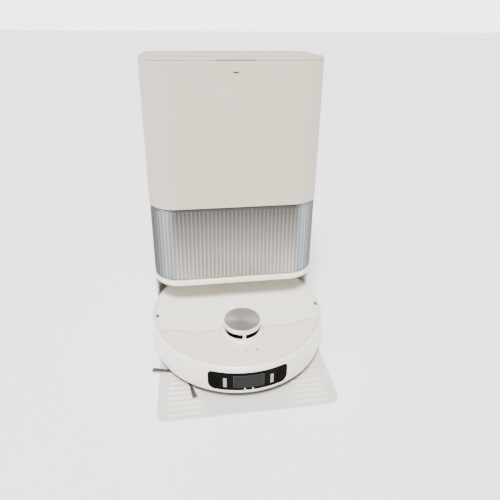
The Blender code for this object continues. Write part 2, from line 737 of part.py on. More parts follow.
def build_buttons(robot):
    """Three keys in one rounded slot: the outer two have round outer ends."""
    half_depth, end, square, low, height = 0.0050, 0.0049, 0.0005, 0.0670, 0.0046
    outer, inner, middle_half = 0.0300, 0.0104, 0.0100
    keys = (
        ("button_home", -outer, -inner, (square, square, end, end)),
        ("button_power", -middle_half, middle_half, (square,) * 4),
        ("button_spot", inner, outer, (end, end, square, square)),
    )
    for name, x0, x1, radii in keys:
        half = (x1 - x0) / 2
        outline = rounded(-half, half, -half_depth, half_depth, radii, 5)
        place = ((x0 + x1) / 2, BUTTON_Y, low)
        add_object(name, slab([outline], 0, height), WHITE, place, robot)


def build_turret(robot):
    """The laser distance sensor: fixed base, spinning head and a sprung cap that senses touch."""
    at = (0, TURRET_Y, 0)
    foot, seat, ring_top = 0.0605, 0.0750, 0.0785
    base = [
        (0.0349, ring_top),
        (0.0363, ring_top),
        (0.0370, 0.0755),
        (0.0405, 0.0738),
        (0.0405, foot),
        (0.0322, foot),
        (0.0322, seat),
        (0.0349, seat),
    ]
    add_object("turret_base", turned(base, 36, closed=True), WHITE, at, robot)

    head_radius, head_top, head_low = 0.0312, 0.0868, 0.0650
    head_profile = [
        (0, head_top),
        (head_radius - 0.0012, head_top),
        (head_radius, head_top - 0.0010),
        (head_radius, head_low),
        (0, head_low),
    ]
    head = add_object("lds_head", turned(head_profile, 24), DARK, at, robot)
    cut(head, box((-0.016, -0.04, 0.0780), (0.016, -0.026, 0.0850)), where=at)

    cap_radius, disc_radius, skirt_in, skirt_low = 0.0353, 0.0333, 0.0324, 0.0872
    disc_low, ceiling = ROBOT_HEIGHT - 0.0011, ROBOT_HEIGHT - 0.0040
    cap_profile = [
        (0, disc_low),
        (disc_radius, disc_low),
        (disc_radius, ROBOT_HEIGHT),
        (cap_radius - 0.0008, ROBOT_HEIGHT),
        (cap_radius, ROBOT_HEIGHT - 0.0009),
        (cap_radius, skirt_low),
        (skirt_in, skirt_low),
        (skirt_in, ceiling),
        (0, ceiling),
    ]
    cap = add_object("turret_cap", turned(cap_profile, 36), WHITE, at, robot)
    post_half, post_in, post_out = 0.0027, 0.0326, 0.0345
    for turn in range(3):
        post = box((-post_half, -post_out, 0.0762), (post_half, -post_in, 0.0880))
        post.transform(Matrix.Rotation(radians(120 * turn), 4, "Z"))
        fuse(cap, post, where=at)
    disc = rod(
        disc_radius - 0.0005, disc_low + 0.0003, ROBOT_HEIGHT - 0.0001, (0, 0), "Z", 36
    )
    add_object("turret_disc", disc, BRUSHED, at, robot)


# ---------------------------------------------------------------- robot works
def build_dust_box(robot):
    """The dust bin, open at the top, with its pleated filter lying in it."""
    wall, low, high, mat_low = 0.0020, 0.0210, 0.0655, 0.0560
    outer = (-BIN_HALF, BIN_FRONT_Y, low), (BIN_HALF, BIN_BACK_Y, high)
    dust_bin = add_object("dust_box", box(*outer), GREY, parent=robot)
    inner = BIN_HALF - wall, BIN_FRONT_Y + wall, BIN_BACK_Y - wall
    half, y0, y1 = inner
    cut(dust_bin, box((-half, y0, low + wall), (half, y1, 0.07)))
    mat_low_corner = (-half + GAP, y0 + GAP, mat_low)
    mat = box(mat_low_corner, (half - GAP, y1 - GAP, high - 0.0005))
    add_object("dust_filter", mat, FILTER, parent=robot)


def build_electrics(robot):
    """Battery, circuit board and the suction fan's housing."""
    pack = box((-0.058, 0.108, 0.0225), (0.058, 0.143, 0.0600))
    add_object("battery", pack, DARK, parent=robot)
    circuit = box((-0.060, -0.146, 0.0570), (0.060, -0.120, 0.0586))
    add_object("robot_board", circuit, BOARD, parent=robot)
    centre, radius, neck, base, low, high = (0.104, 0.062), 0.021, 0.018, 0.017, 0.024, 0.060
    fan = [
        (0, high),
        (neck, high),
        (radius, high - 0.004),
        (radius, low + 0.006),
        (base, low),
        (0, low),
    ]
    add_object("robot_fan", turned(fan, SMALL, centre=centre), GREY, parent=robot)


def build_main_brush(robot):
    """A rubber roller with six low fins, on a steel-ended axle, and its guard frame."""
    radius, fin, half, fins = 0.0150, BRUSH_RADIUS, 0.082, 6
    outline = []
    for i in range(fins):
        start = 360 / fins * i
        outline += arc((0, 0), radius, start, start + 44, 3)
        outline += arc((0, 0), fin, start + 49, start + 55, 1)
    roller = slab([outline], -half, half)
    roller.transform(Matrix.Rotation(radians(90), 4, "Y"))
    at = (0, BRUSH_Y, BRUSH_Z)
    brush = add_object("main_brush", roller, RUBBER, at, robot)
    axle_radius, axle_half = 0.0030, 0.0865
    fuse(brush, rod(axle_radius, -axle_half, axle_half, (0, 0), "X", 12), where=at)

    half_x, half_y, border = 0.092, 0.026, 0.007
    frame = rounded(-half_x, half_x, BRUSH_Y - half_y, BRUSH_Y + half_y, (0.006,) * 4, 3)
    hole_x, hole_y = half_x - border, half_y - border - 0.001
    opening = rounded(-hole_x, hole_x, BRUSH_Y - hole_y, BRUSH_Y + hole_y, (0.004,) * 4, 3)
    add_object("brush_cover", slab([frame, opening], 0.0064, 0.0092), GREY, parent=robot)


def build_side_brush(robot):
    """Three flexible arms on a hub that hangs below the bumper's corner."""
    shaft, shaft_top, hub_top, hub_low = 0.0040, 0.0150, 0.0088, 0.0022
    hub = [
        (0, shaft_top),
        (shaft, shaft_top),
        (shaft, hub_top),
        (0.0125, hub_top),
        (0.0140, 0.0070),
        (0.0110, hub_low),
        (0, hub_low),
    ]
    at = (*SIDE_BRUSH, 0)
    brush = add_object("side_brush", turned(hub, SMALL), DARK, at, robot)
    root, reach, half, low, high, first_angle = 0.006, 0.0635, 0.0030, 0.0026, 0.0050, 166.5
    for i in range(3):
        arm = box((root, -half, low), (reach, half, high))
        arm.transform(Matrix.Rotation(radians(first_angle + 120 * i), 4, "Z"))
        fuse(brush, arm, where=at)


def build_wheel(robot, side, word, centre_z):
    bore, half, shoulder = 0.0048, 0.0105, 0.0255
    tyre = [
        (bore, half),
        (shoulder, half + 0.0005),
        (WHEEL_RADIUS, half - 0.0020),
        (WHEEL_RADIUS, -half + 0.0020),
        (shoulder, -half - 0.0005),
        (bore, -half),
    ]
    wheel = turned(tyre, 28, closed=True)
    wheel.transform(Matrix.Rotation(radians(90), 4, "Y"))
    add_object(f"wheel_{word}", wheel, RUBBER, (side * WHEEL_X, WHEEL_Y, centre_z), robot)


def build_drive(robot, side, word):
    """A driving wheel on its swinging suspension arm; side is -1 or 1."""
    centre_z = WHEEL_RADIUS + 0.0003
    build_wheel(robot, side, word, centre_z)
    pivot_y, pivot_z, x_in, thickness = -0.054, 0.040, 0.0950, 0.0080
    pivot = (side * x_in, pivot_y, pivot_z)
    reach_y, reach_z = WHEEL_Y - pivot_y, centre_z - pivot_z
    x0, x1 = sorted((0.0, side * thickness))
    boss, hub, half_beam, pin = 0.0070, 0.0090, 0.0055, 0.0042
    arm = add_object(f"wheel_arm_{word}", rod(boss, x0, x1, (0, 0), "X"), GREY, pivot, robot)
    length = sqrt(reach_y**2 + reach_z**2)
    beam = box((x0 + 0.0004, 0.0, -half_beam), (x1 - 0.0004, length, half_beam))
    beam.transform(Matrix.Rotation(atan2(reach_z, reach_y), 4, "X"))
    fuse(arm, beam, where=pivot)
    fuse(arm, rod(hub, x0, x1, (reach_y, reach_z), "X"), where=pivot)
    pin_end = side * (WHEEL_X + 0.0105 - x_in)
    p0, p1 = sorted((side * 0.002, pin_end))
    fuse(arm, rod(pin, p0, p1, (reach_y, reach_z), "X", 16), where=pivot)


def build_caster(robot):
    """The front swivel wheel: a disc with a stem above and two cheeks for the axle."""
    trail, radius, disc_radius, disc_low, disc_top = 0.0080, 0.0140, 0.0170, 0.0300, 0.0370
    at = (0, CASTER_Y, 0)
    disc = rod(disc_radius, disc_low, disc_top, (0, 0), "Z", 28)
    fork = add_object("caster_fork", disc, GREY, at, robot)
    fuse(fork, rod(0.0050, disc_top - 0.001, 0.0500, (0, 0), "Z", 16), where=at)
    axle_z, half_cheek = radius + 0.0003, 0.0045
    for side in (-1, 1):
        x0, x1 = sorted((side * 0.0078, side * 0.0105))
        low = (x0, trail - half_cheek, axle_z - half_cheek)
        fuse(fork, box(low, (x1, trail + half_cheek, disc_low + 0.001)), where=at)
    fuse(fork, rod(0.0022, -0.0090, 0.0090, (trail, axle_z), "X", 12), where=at)
    bore, half, shoulder = 0.0027, 0.0070, 0.0125
    wheel = [
        (bore, half),
        (shoulder, half),
        (radius, half - 0.0015),
        (radius, -half + 0.0015),
        (shoulder, -half),
        (bore, -half),
    ]
    mesh = turned(wheel, 20, closed=True)
    mesh.transform(Matrix.Rotation(radians(90), 4, "Y"))
    add_object("caster_wheel", mesh, RUBBER, (0, CASTER_Y + trail, axle_z), robot)


def build_mop_drive(robot):
    """The gearbox that turns both mop discs and lifts them together."""
    half_x, y0, y1, low, high = 0.082, 0.078, 0.1020, 0.0300, 0.0420
    gearbox = box((-half_x, y0, low), (half_x, y1, high))
    drive = add_object("mop_drive", gearbox, GREY, parent=robot)
    for side in (-1, 1):
        fuse(drive, rod(0.0150, low - 0.001, 0.0520, (side * MOP_X, MOP_Y), "Z", 20))


def build_mop(robot, side, word):
    """A mop disc with its stub shaft, and the pad stuck under it; side is -1 or 1."""
    at = (side * MOP_X, MOP_Y, 0)
    shaft, shaft_top, disc_low = 0.0060, 0.0286, 0.0068
    plate = [
        (0, shaft_top),
        (shaft, shaft_top),
        (shaft, 0.0120),
        (0.0200, 0.0100),
        (0.0590, 0.0096),
        (0.0600, disc_low),
        (0, disc_low),
    ]
    add_object(f"mop_plate_{word}", turned(plate, 28), GREY, at, robot)
    pad_top, pad_low = 0.0065, 0.0003
    pad = [
        (0, pad_top),
        (MOP_RADIUS - 0.0020, pad_top),
        (MOP_RADIUS, pad_top - 0.0020),
        (MOP_RADIUS, pad_low + 0.0012),
        (MOP_RADIUS - 0.0015, pad_low),
        (0, pad_low),
    ]
    add_object(f"mop_pad_{word}", turned(pad, 28), PAD, at, robot)


# ---------------------------------------------------------------- assembly
def build_station():
    build_base()
    build_washboard()
    build_tower_shell()
    build_garage_roof()
    build_dock_panel()
    build_lid()
    build_tank_shelf()
    build_tank(-1, "clean_tank")
    build_tank(1, "dirty_tank")
    build_dust_door()
    build_dust_bag()
    build_duct()
    build_suction_motor()
    build_station_electrics()


def build_robot():
    robot = empty("robot_frame", (0, ROBOT_Y, ROBOT_Z))
    build_outer_skin(robot)
    build_window(robot)
    build_chassis(robot)
    build_top(robot)
    build_buttons(robot)
    build_turret(robot)
    build_dust_box(robot)
    build_electrics(robot)
    build_main_brush(robot)
    build_side_brush(robot)
    build_caster(robot)
    build_mop_drive(robot)
    for side, word in ((-1, "left"), (1, "right")):
        build_drive(robot, side, word)
        build_mop(robot, side, word)


build_station()
build_robot()
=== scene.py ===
"""Looks of a robot vacuum docked in its base station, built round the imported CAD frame.

Station pieces are made where they stand. Robot pieces are made round the robot's own
centre, with height measured from its underside, and then placed at ROBOT.
"""

import random
from math import asin, ceil, cos, degrees, pi, radians, sin, sqrt, tan

import bmesh
import bpy
from mathutils import Matrix, Vector, noise


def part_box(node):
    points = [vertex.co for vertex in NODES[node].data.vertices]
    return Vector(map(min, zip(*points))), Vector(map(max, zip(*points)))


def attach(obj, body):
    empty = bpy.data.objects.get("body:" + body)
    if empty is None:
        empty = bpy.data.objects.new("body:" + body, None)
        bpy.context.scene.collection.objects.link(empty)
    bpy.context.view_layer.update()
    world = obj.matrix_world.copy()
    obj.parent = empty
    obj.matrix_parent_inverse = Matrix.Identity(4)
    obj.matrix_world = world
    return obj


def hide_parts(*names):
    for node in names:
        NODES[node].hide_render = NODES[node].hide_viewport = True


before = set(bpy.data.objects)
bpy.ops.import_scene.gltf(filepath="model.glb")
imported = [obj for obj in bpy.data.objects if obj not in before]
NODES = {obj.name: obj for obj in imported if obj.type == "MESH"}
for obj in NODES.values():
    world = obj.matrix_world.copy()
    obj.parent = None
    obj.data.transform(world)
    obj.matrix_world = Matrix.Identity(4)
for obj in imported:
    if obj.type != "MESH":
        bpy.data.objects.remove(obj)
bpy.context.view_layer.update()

# ---------------- sizes from the frame
shell_low, shell_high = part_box("tower_shell")
roof_low, roof_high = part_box("garage_roof")
door_low, door_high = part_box("dust_door")
lid_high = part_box("station_lid")[1]
hinge_low, hinge_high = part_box("lid_hinge_rod")
skin_low, skin_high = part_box("side_shell")
deck_low, deck_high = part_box("top_deck")
turret_low, turret_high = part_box("turret_cap")

SIDES = ((-1, "left"), (1, "right"))
FAR = 0.3
HALF_WIDTH = shell_high.x
FRONT_Y, BACK_Y = shell_low.y, shell_high.y
HINGE_Y = (hinge_low.y + hinge_high.y) / 2
HINGE_Z = (hinge_low.z + hinge_high.z) / 2
HINGE_FRONT_Y = HINGE_Y - 0.006
HINGE_POST_X, HINGE_POST_HALF = 0.090, 0.008
LID_GAP = 0.0003
WALL = 0.003
CORNER_FRONT, CORNER_REAR = 0.055, 0.040
SIDE_WALL_FRONT_Y = door_high.y + 0.002
FRONT_PANEL_BOTTOM = door_high.z + 0.0015
COVER_CORNER, COVER_CORNER_X = 0.053, 0.115
COVER_FLANK = door_high.y - door_low.y - COVER_CORNER
COVER_LENGTH = 2 * (COVER_FLANK + COVER_CORNER * pi / 2 + COVER_CORNER_X)
RIB_HEIGHT = 0.0009

ROBOT_RADIUS = skin_high.x
ROBOT = Vector((0, skin_high.y - ROBOT_RADIUS, skin_low.z - 0.019))
ROBOT_WALL = 0.0025
DECK_TOP = deck_high.z - ROBOT.z
DECK_RADIUS, COVER_RADIUS, LIP_RADIUS = 0.1666, 0.1668, 0.1674
TURRET = Vector((0, (turret_low.y + turret_high.y) / 2 - ROBOT.y, 0))
TURRET_TOP = turret_high.z - ROBOT.z
RECESS_RADIUS = 0.0412
BUMPER_END_Y, BUMPER_TOP, BUMPER_GAP = -0.0640, 0.0628, 0.0022
SEAM_MIDDLE_Y, SEAM_RIM_Y = -0.0738, -0.0632
STEP_START_X, STEP_END_X = 0.097, 0.125
SEAM_GAP = 0.0008
BUTTON_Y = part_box("button_power")[0].y + 0.0050 - ROBOT.y
SIDE_BRUSH = Vector((-0.112, -0.102, 0))


# ---------------- outlines
def arc(centre, radius, start, end, steps):
    """Points on an arc, with its angles in degrees from +X."""
    angles = [radians(start + (end - start) * i / steps) for i in range(steps + 1)]
    return [(centre[0] + radius * cos(a), centre[1] + radius * sin(a)) for a in angles]


def filleted(corners, step=12):
    """A closed outline from (x, y, radius) corners, each rounded by its radius."""
    points = []
    for i, (x, y, radius) in enumerate(corners):
        if not radius:
            points.append((x, y))
            continue
        here = Vector((x, y))
        before = (Vector(corners[i - 1][:2]) - here).normalized()
        after = (Vector(corners[(i + 1) % len(corners)][:2]) - here).normalized()
        half = before.angle(after) / 2
        centre = here + (before + after).normalized() * radius / sin(half)
        spoke = here + before * radius / tan(half) - centre
        turn = pi - 2 * half
        if before.x * after.y - before.y * after.x > 0:
            turn = -turn
        count = max(2, ceil(abs(degrees(turn)) / step))
        for k in range(count + 1):
            a = turn * k / count
            turned = (spoke.x * cos(a) - spoke.y * sin(a), spoke.x * sin(a) + spoke.y * cos(a))
            points.append(tuple(centre + Vector(turned)))
    return points


def rectangle(x0, x1, y0, y1, radius, step=12):
    return filleted([(x1, y0, radius), (x1, y1, radius), (x0, y1, radius), (x0, y0, radius)], step)


def mirrored(right, step=12):
    """A closed outline from the (x, y, radius) corners of its right half, with y rising."""
    return filleted(right + [(-x, y, radius) for x, y, radius in reversed(right)], step)


def circle(radius, steps, centre=(0, 0)):
    return arc(centre, radius, 0, 360 - 360 / steps, steps - 1)


def shrunk(outline, distance):
    """The outline moved inwards by a small distance, point by point."""
    inner = []
    for i, point in enumerate(outline):
        here = Vector(point)
        ahead = (Vector(outline[(i + 1) % len(outline)]) - here).normalized()
        behind = (here - Vector(outline[i - 1])).normalized()
        normal = Vector((-(ahead.y + behind.y), ahead.x + behind.x))
        if normal.length < 1e-9:
            inner.append(tuple(here))
            continue
        normal.normalize()
        share = max(0.4, normal.dot(Vector((-ahead.y, ahead.x))))
        inner.append(tuple(here + normal * distance / share))
    return inner


def tower_outline(inset):
    """The tower's plan, with the same number of points whatever the inset."""
    points = []
    corners = (
        (HALF_WIDTH, FRONT_Y, -1, 1, -90, CORNER_FRONT),
        (HALF_WIDTH, BACK_Y, -1, -1, 0, CORNER_REAR),
        (-HALF_WIDTH, BACK_Y, 1, -1, 90, CORNER_REAR),
        (-HALF_WIDTH, FRONT_Y, 1, 1, 180, CORNER_FRONT),
    )
    for x, y, dx, dy, start, radius in corners:
        centre = (x + dx * radius, y + dy * radius)
        points += arc(centre, radius - inset, start, start + 90, 18)
    return points


def seam_y(x):
    """The seam across the robot's top: level at the turret, stepping back near the rim."""
    t = min(1.0, max(0.0, (abs(x) - STEP_START_X) / (STEP_END_X - STEP_START_X)))
    return SEAM_MIDDLE_Y + (SEAM_RIM_Y - SEAM_MIDDLE_Y) * t * t * (3 - 2 * t)


def seam(from_x, to_x, shift):
    """Points along one side's seam: its ends, and its step between two straight stretches."""
    side, count = (1 if from_x + to_x > 0 else -1), 16
    step = [STEP_START_X + (STEP_END_X - STEP_START_X) * i / count for i in range(count + 1)]
    bend = sorted([side * x for x in step], reverse=from_x > to_x)
    return [(x, seam_y(x) + shift) for x in (from_x, *bend, to_x)]


def rounded_top(z, edge, steps):
    """Rows of (inset, height) that round an upright wall's top edge."""
    angles = [pi / 2 * i / steps for i in range(steps + 1)]
    return [(edge * (1 - cos(a)), z - edge * (1 - sin(a))) for a in angles]


def at_height(outline, z):
    return [(x, y, z) for x, y in outline]


# ---------------- mesh tools
def evaluated(mesh, *modifiers, keep=()):
    """The mesh after modifiers, each given as (type, {setting: value})."""
    helper = bpy.data.objects.new("helper", mesh)
    bpy.context.scene.collection.objects.link(helper)
    for kind, settings in modifiers:
        step = helper.modifiers.new(kind.title(), kind)
        for key, value in settings.items():
            setattr(step, key, value)
    bpy.context.view_layer.update()
    graph = bpy.context.evaluated_depsgraph_get()
    made = bpy.data.meshes.new_from_object(helper.evaluated_get(graph), depsgraph=graph)
    for obj in (helper, *keep):
        bpy.data.objects.remove(obj)
    return made


def carve(mesh, *cutters, operation="DIFFERENCE"):
    for cutter in cutters:
        helper = bpy.data.objects.new("cutter", cutter)
        bpy.context.scene.collection.objects.link(helper)
        settings = {"operation": operation, "solver": "EXACT", "object": helper}
        mesh = evaluated(mesh, ("BOOLEAN", settings), keep=(helper,))
    return mesh


def finished(mesh, width=0.0, angle=50, sharp=40):
    """Rounds the mesh's sharp edges by width and shades it smooth, with flat faces kept flat."""
    mesh.shade_smooth()
    if width:
        limits = {"limit_method": "ANGLE", "angle_limit": radians(angle)}
        mesh = evaluated(mesh, ("BEVEL", {"width": width, "segments": 2, **limits}))
    mesh.shade_smooth()
    mesh.set_sharp_from_angle(angle=radians(sharp))
    return evaluated(mesh, ("WEIGHTED_NORMAL", {"keep_sharp": True, "weight": 90}))


def as_mesh(bm):
    mesh = bpy.data.meshes.new("piece")
    bm.to_mesh(mesh)
    bm.free()
    return mesh


def cleaned(bm):
    bmesh.ops.remove_doubles(bm, verts=bm.verts, dist=2e-6)
    bmesh.ops.dissolve_degenerate(bm, dist=1e-6, edges=bm.edges)
    bmesh.ops.recalc_face_normals(bm, faces=bm.faces)
    return as_mesh(bm)


def loft(loops, wrap=False, ring=True):
    """A skin over loops of 3-D points. wrap joins the last loop to the first."""
    bm = bmesh.new()
    rows = [[bm.verts.new(p) for p in loop] for loop in loops]
    count = len(rows[0])
    pairs = list(zip(rows, rows[1:]))
    if wrap:
        pairs.append((rows[-1], rows[0]))
    for low, high in pairs:
        for i in range(count if ring else count - 1):
            k = (i + 1) % count
            bm.faces.new((low[i], low[k], high[k], high[i]))
    if ring and not wrap:
        bm.faces.new(rows[0])
        bm.faces.new(rows[-1])
    return cleaned(bm)


def revolve(profile, steps, wobble=None):
    """A profile of (radius, height) points turned about Z. wobble changes a point's radius."""
    loops = []
    for k in range(steps):
        a = 2 * pi * k / steps
        loop = []
        for i, (radius, z) in enumerate(profile):
            r = radius + (wobble(i, a) if wobble else 0)
            loop.append((r * cos(a), r * sin(a), z))
        loops.append(loop)
    return loft(loops, wrap=True)


def turned(corners, steps=96):
    """A solid turned about Z from (radius, height, fillet) corners."""
    return revolve(filleted(corners), steps)


def solid(outline, low, high, edge=0.0, steps=3, inset=None):
    """An upright slab with rounded edges. inset gives the outline at a distance inside it."""
    at = inset or (lambda d: shrunk(outline, d))
    top = rounded_top(high, edge, steps) if edge else [(0.0, high)]
    foot = [(d, low + high - z) for d, z in reversed(top)]
    return loft([at_height(at(d), z) for d, z in foot + top])


def plate(outlines, low, high, edge, steps=2):
    """A slab with rounded edges from flat outlines; clockwise outlines are its holes."""
    curve = bpy.data.curves.new("plate", "CURVE")
    curve.dimensions = "2D"
    curve.fill_mode = "BOTH"
    curve.extrude = (high - low) / 2 - edge
    curve.bevel_depth = edge
    curve.offset = -edge
    curve.bevel_resolution = steps - 1
    for outline in outlines:
        spline = curve.splines.new("POLY")
        spline.points.add(len(outline) - 1)
        for point, (x, y) in zip(spline.points, outline):
            point.co = (x, y, 0, 1)
        spline.use_cyclic_u = True
    made = evaluated(curve)
    made.transform(Matrix.Translation((0, 0, (low + high) / 2)))
    bm = bmesh.new()
    bm.from_mesh(made)
    return cleaned(bm)


def box(low, high):
    bm = bmesh.new()
    bmesh.ops.create_cube(bm, size=1.0)
    low, high = Vector(low), Vector(high)
    bmesh.ops.scale(bm, vec=high - low, verts=bm.verts)
    bmesh.ops.translate(bm, vec=(low + high) / 2, verts=bm.verts)
    return cleaned(bm)


def opening(node, front_y, back_y):
    """A cutter through an upright wall, a little larger than a CAD node all round."""
    (low, high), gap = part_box(node), 0.0004
    return box((low.x - gap, front_y, low.z - gap), (high.x + gap, back_y, high.z + gap))


def together(*meshes):
    """One mesh of several that stay separate shells."""
    bm = bmesh.new()
    for mesh in meshes:
        bm.from_mesh(mesh)
    return as_mesh(bm)


def moved(mesh, offset=(0, 0, 0), turn=None):
    """The mesh after a turn of (degrees, axis) and then an offset."""
    if turn:
        mesh.transform(Matrix.Rotation(radians(turn[0]), 4, turn[1]))
    mesh.transform(Matrix.Translation(offset))
    return mesh


def tube(points, radius, sides, taper):
    """A bar along 3-D points. taper gives the radius factor from 0 to 1 along it."""
    places = [Vector(p) for p in points]
    loops = []
    side = None
    for i, place in enumerate(places):
        run = (places[min(i + 1, len(places) - 1)] - places[max(i - 1, 0)]).normalized()
        if side is None:
            side = run.orthogonal().normalized()
        side = (side - run * side.dot(run)).normalized()
        up = run.cross(side)
        r = radius * taper(i / (len(places) - 1))
        angles = [2 * pi * k / sides for k in range(sides)]
        loops.append([place + (side * cos(a) + up * sin(a)) * r for a in angles])
    return loft(loops)


def shader_tree(name):
    """A new material with its node tree and shader."""
    made = bpy.data.materials.new(name)
    made.use_nodes = True
    return made, made.node_tree, made.node_tree.nodes["Principled BSDF"]


def add_node(tree, kind, inputs=(), **settings):
    node = tree.nodes.new("ShaderNode" + kind)
    for key, value in settings.items():
        setattr(node, key, value)
    for key, value in dict(inputs).items():
        give(tree, node.inputs[key], value)
    return node


def give(tree, socket, value):
    """Links another node's output to a socket, or sets the socket to a constant."""
    if isinstance(value, bpy.types.NodeSocket):
        tree.links.new(value, socket)
    else:
        socket.default_value = value


def set_shader(tree, shader, **inputs):
    """Sets the shader's inputs, such as base_color or specular_ior_level."""
    for key, value in inputs.items():
        give(tree, shader.inputs[key.replace("_", " ").title().replace("Ior", "IOR")], value)


def object_place(tree):
    return add_node(tree, "TexCoord").outputs["Object"]


def cloud(tree, place, scale, detail):
    return add_node(tree, "TexNoise", {"Vector": place, "Scale": scale, "Detail": detail}).outputs["Fac"]


def spread(tree, value, low, high, start=0.0, end=1.0):
    """A value that runs from low to high as the given one runs from start to end."""
    inputs = {"Value": value, "From Min": start, "From Max": end, "To Min": low, "To Max": high}
    return add_node(tree, "MapRange", inputs).outputs["Result"]


def blend(tree, factor, *stops):
    """A colour that changes with the factor between (position, colour) stops."""
    node = add_node(tree, "ValToRGB", {"Fac": factor})
    elements = node.color_ramp.elements
    for element, (position, colour) in ((elements[0], stops[0]), (elements[1], stops[-1])):
        element.position = position
        element.color = (*colour, 1)
    for position, colour in stops[1:-1]:
        elements.new(position).color = (*colour, 1)
    return node.outputs["Color"]


def mix(tree, factor, first, second, **settings):
    inputs = {"Factor": factor, 6: first, 7: second}
    return add_node(tree, "Mix", inputs, data_type="RGBA", **settings).outputs[2]


def computed(tree, operation, first, second=0.0, **settings):
    inputs = {0: first, 1: second}
    return add_node(tree, "Math", inputs, operation=operation, **settings).outputs["Value"]


def bumps(tree, height, strength, distance):
    inputs = {"Height": height, "Strength": strength, "Distance": distance}
    return add_node(tree, "Bump", inputs).outputs["Normal"]


def shade(colour, factor):
    return [min(1.0, c * factor) for c in colour]


def surface(name, slot, colour, rough, mottle=0.03, mottle_scale=7, grain=1400, bump=0.04, **constants):
    """A moulded or metal surface: slow colour variation, fine grain in roughness and bump."""
    made, tree, shader = shader_tree(name)
    place = object_place(tree)
    dark, light = shade(colour, 1 - mottle), shade(colour, 1 + mottle)
    tint = blend(tree, cloud(tree, place, mottle_scale, 3.0), (0.3, dark), (0.7, light))
    fine = cloud(tree, place, grain, 2.0)
    roughness = spread(tree, fine, max(0.02, rough - 0.05), rough + 0.05)
    set_shader(tree, shader, base_color=tint, roughness=roughness, **constants)
    if bump:
        set_shader(tree, shader, normal=bumps(tree, fine, bump, 0.0004))
    return made


def striped_white():
    """The robot's front top: white with a fine front-to-back pinstripe under the gloss."""
    coat = {"coat_weight": 0.25, "coat_roughness": 0.15}
    made = surface("pinstriped_white", "white_plastic", (0.80, 0.735, 0.645), 0.30, **coat)
    tree = made.node_tree
    shader = tree.nodes["Principled BSDF"]
    base = shader.inputs["Base Color"].links[0].from_socket
    inputs = {"Vector": object_place(tree), "Scale": 78.0, "Distortion": 0.0}
    bands = {"wave_type": "BANDS", "bands_direction": "X", "wave_profile": "SIN"}
    lines = add_node(tree, "TexWave", inputs, **bands).outputs["Fac"]
    tint = mix(tree, lines, base, (0.87, 0.81, 0.745, 1), blend_type="MULTIPLY")
    set_shader(tree, shader, base_color=tint)
    return made


def ribbed_silver():
    """The dust cover's vapour-coated silver: warm and darker towards its top, a painted cool
    highlight round its corners, painted shade on its flanks, a painted highlight on the ribs' crests."""
    made, tree, shader = shader_tree("ribbed_silver")
    place = object_place(tree)
    axes = add_node(tree, "SeparateXYZ", {"Vector": place})
    height = spread(tree, axes.outputs["Z"], 0, 1, door_low.z, door_high.z)
    foot, middle, head = (0.36, 0.332, 0.31), (0.175, 0.160, 0.148), (0.066, 0.060, 0.055)
    front = blend(tree, height, (0.0, foot), (0.55, middle), (1.0, head))
    aside = computed(tree, "ABSOLUTE", axes.outputs["X"])
    turn = spread(tree, aside, 0, 1, COVER_CORNER_X + 0.003, COVER_CORNER_X + 0.048)
    # painted highlight and shade: a cool lighter band round each corner, then dark flanks beyond it
    start, cool, flank_shade = (0.18, 0.178, 0.175), (0.22, 0.235, 0.248), (0.034, 0.035, 0.037)
    corner = blend(tree, turn, (0.0, start), (0.52, cool), (1.0, flank_shade))
    share = computed(tree, "MULTIPLY", turn, 3.0, use_clamp=True)
    silver = mix(tree, share, front, corner)
    ridge = add_node(tree, "Attribute", attribute_name="ridge").outputs["Fac"]
    # painted highlight: the colour is raised up to 1.65 times on the ribs' crests
    crest_highlight = spread(tree, computed(tree, "POWER", ridge, 2.0), 0.95, 1.65)
    lit = add_node(tree, "VectorMath", {0: silver, "Scale": crest_highlight}, operation="SCALE")
    fine = cloud(tree, place, 500.0, 2.0)
    set_shader(tree, shader, base_color=lit.outputs["Vector"], metallic=1.0)
    set_shader(tree, shader, roughness=spread(tree, fine, 0.30, 0.38))
    set_shader(tree, shader, normal=bumps(tree, fine, 0.03, 0.0003))
    return made


def brushed_disc():
    """Metal turned on a lathe: fine rings round the disc's own centre."""
    made, tree, shader = shader_tree("brushed_disc")
    across = {0: object_place(tree), 1: (1.0, 1.0, 0.0)}
    flat = add_node(tree, "VectorMath", across, operation="MULTIPLY").outputs["Vector"]
    radius = add_node(tree, "VectorMath", {0: flat}, operation="LENGTH").outputs["Value"]
    inputs = {"W": radius, "Scale": 2600.0, "Detail": 3.0}
    rings = add_node(tree, "TexNoise", inputs, noise_dimensions="1D").outputs["Fac"]
    tint = blend(tree, rings, (0.0, (0.43, 0.405, 0.365)), (1.0, (0.64, 0.61, 0.56)))
    round_centre = add_node(tree, "Tangent", direction_type="RADIAL", axis="Z").outputs["Tangent"]
    set_shader(tree, shader, base_color=tint, metallic=1.0, roughness=0.34, anisotropic=0.6)
    set_shader(tree, shader, normal=bumps(tree, rings, 0.25, 0.0001), tangent=round_centre)
    return made


def fabric(name, colour, scale, depth):
    """Looped pile or felted fibre: cells for the loops, noise for the fibre between them."""
    made, tree, shader = shader_tree(name)
    place = object_place(tree)
    inputs = {"Vector": place, "Scale": scale, "Randomness": 0.9}
    loops = add_node(tree, "TexVoronoi", inputs).outputs["Distance"]
    fibre = cloud(tree, place, scale * 3, 4.0)
    tint = blend(tree, fibre, (0.0, shade(colour, 0.72)), (1.0, shade(colour, 1.2)))
    height = computed(tree, "ADD", loops, fibre)
    set_shader(tree, shader, base_color=tint, roughness=0.95, sheen_weight=0.4)
    set_shader(tree, shader, normal=bumps(tree, height, 0.7, depth))
    return made


THIN_COAT = {"coat_weight": 0.3, "coat_roughness": 0.1}
CLEAR_COAT = {"coat_weight": 0.7, "coat_roughness": 0.04}
SEE_THROUGH = {"transmission_weight": 0.55, "ior": 1.45}
MATT = {"specular_ior_level": 0.03}
DULL = {"specular_ior_level": 0.08}
SILKY = {"specular_ior_level": 0.2}
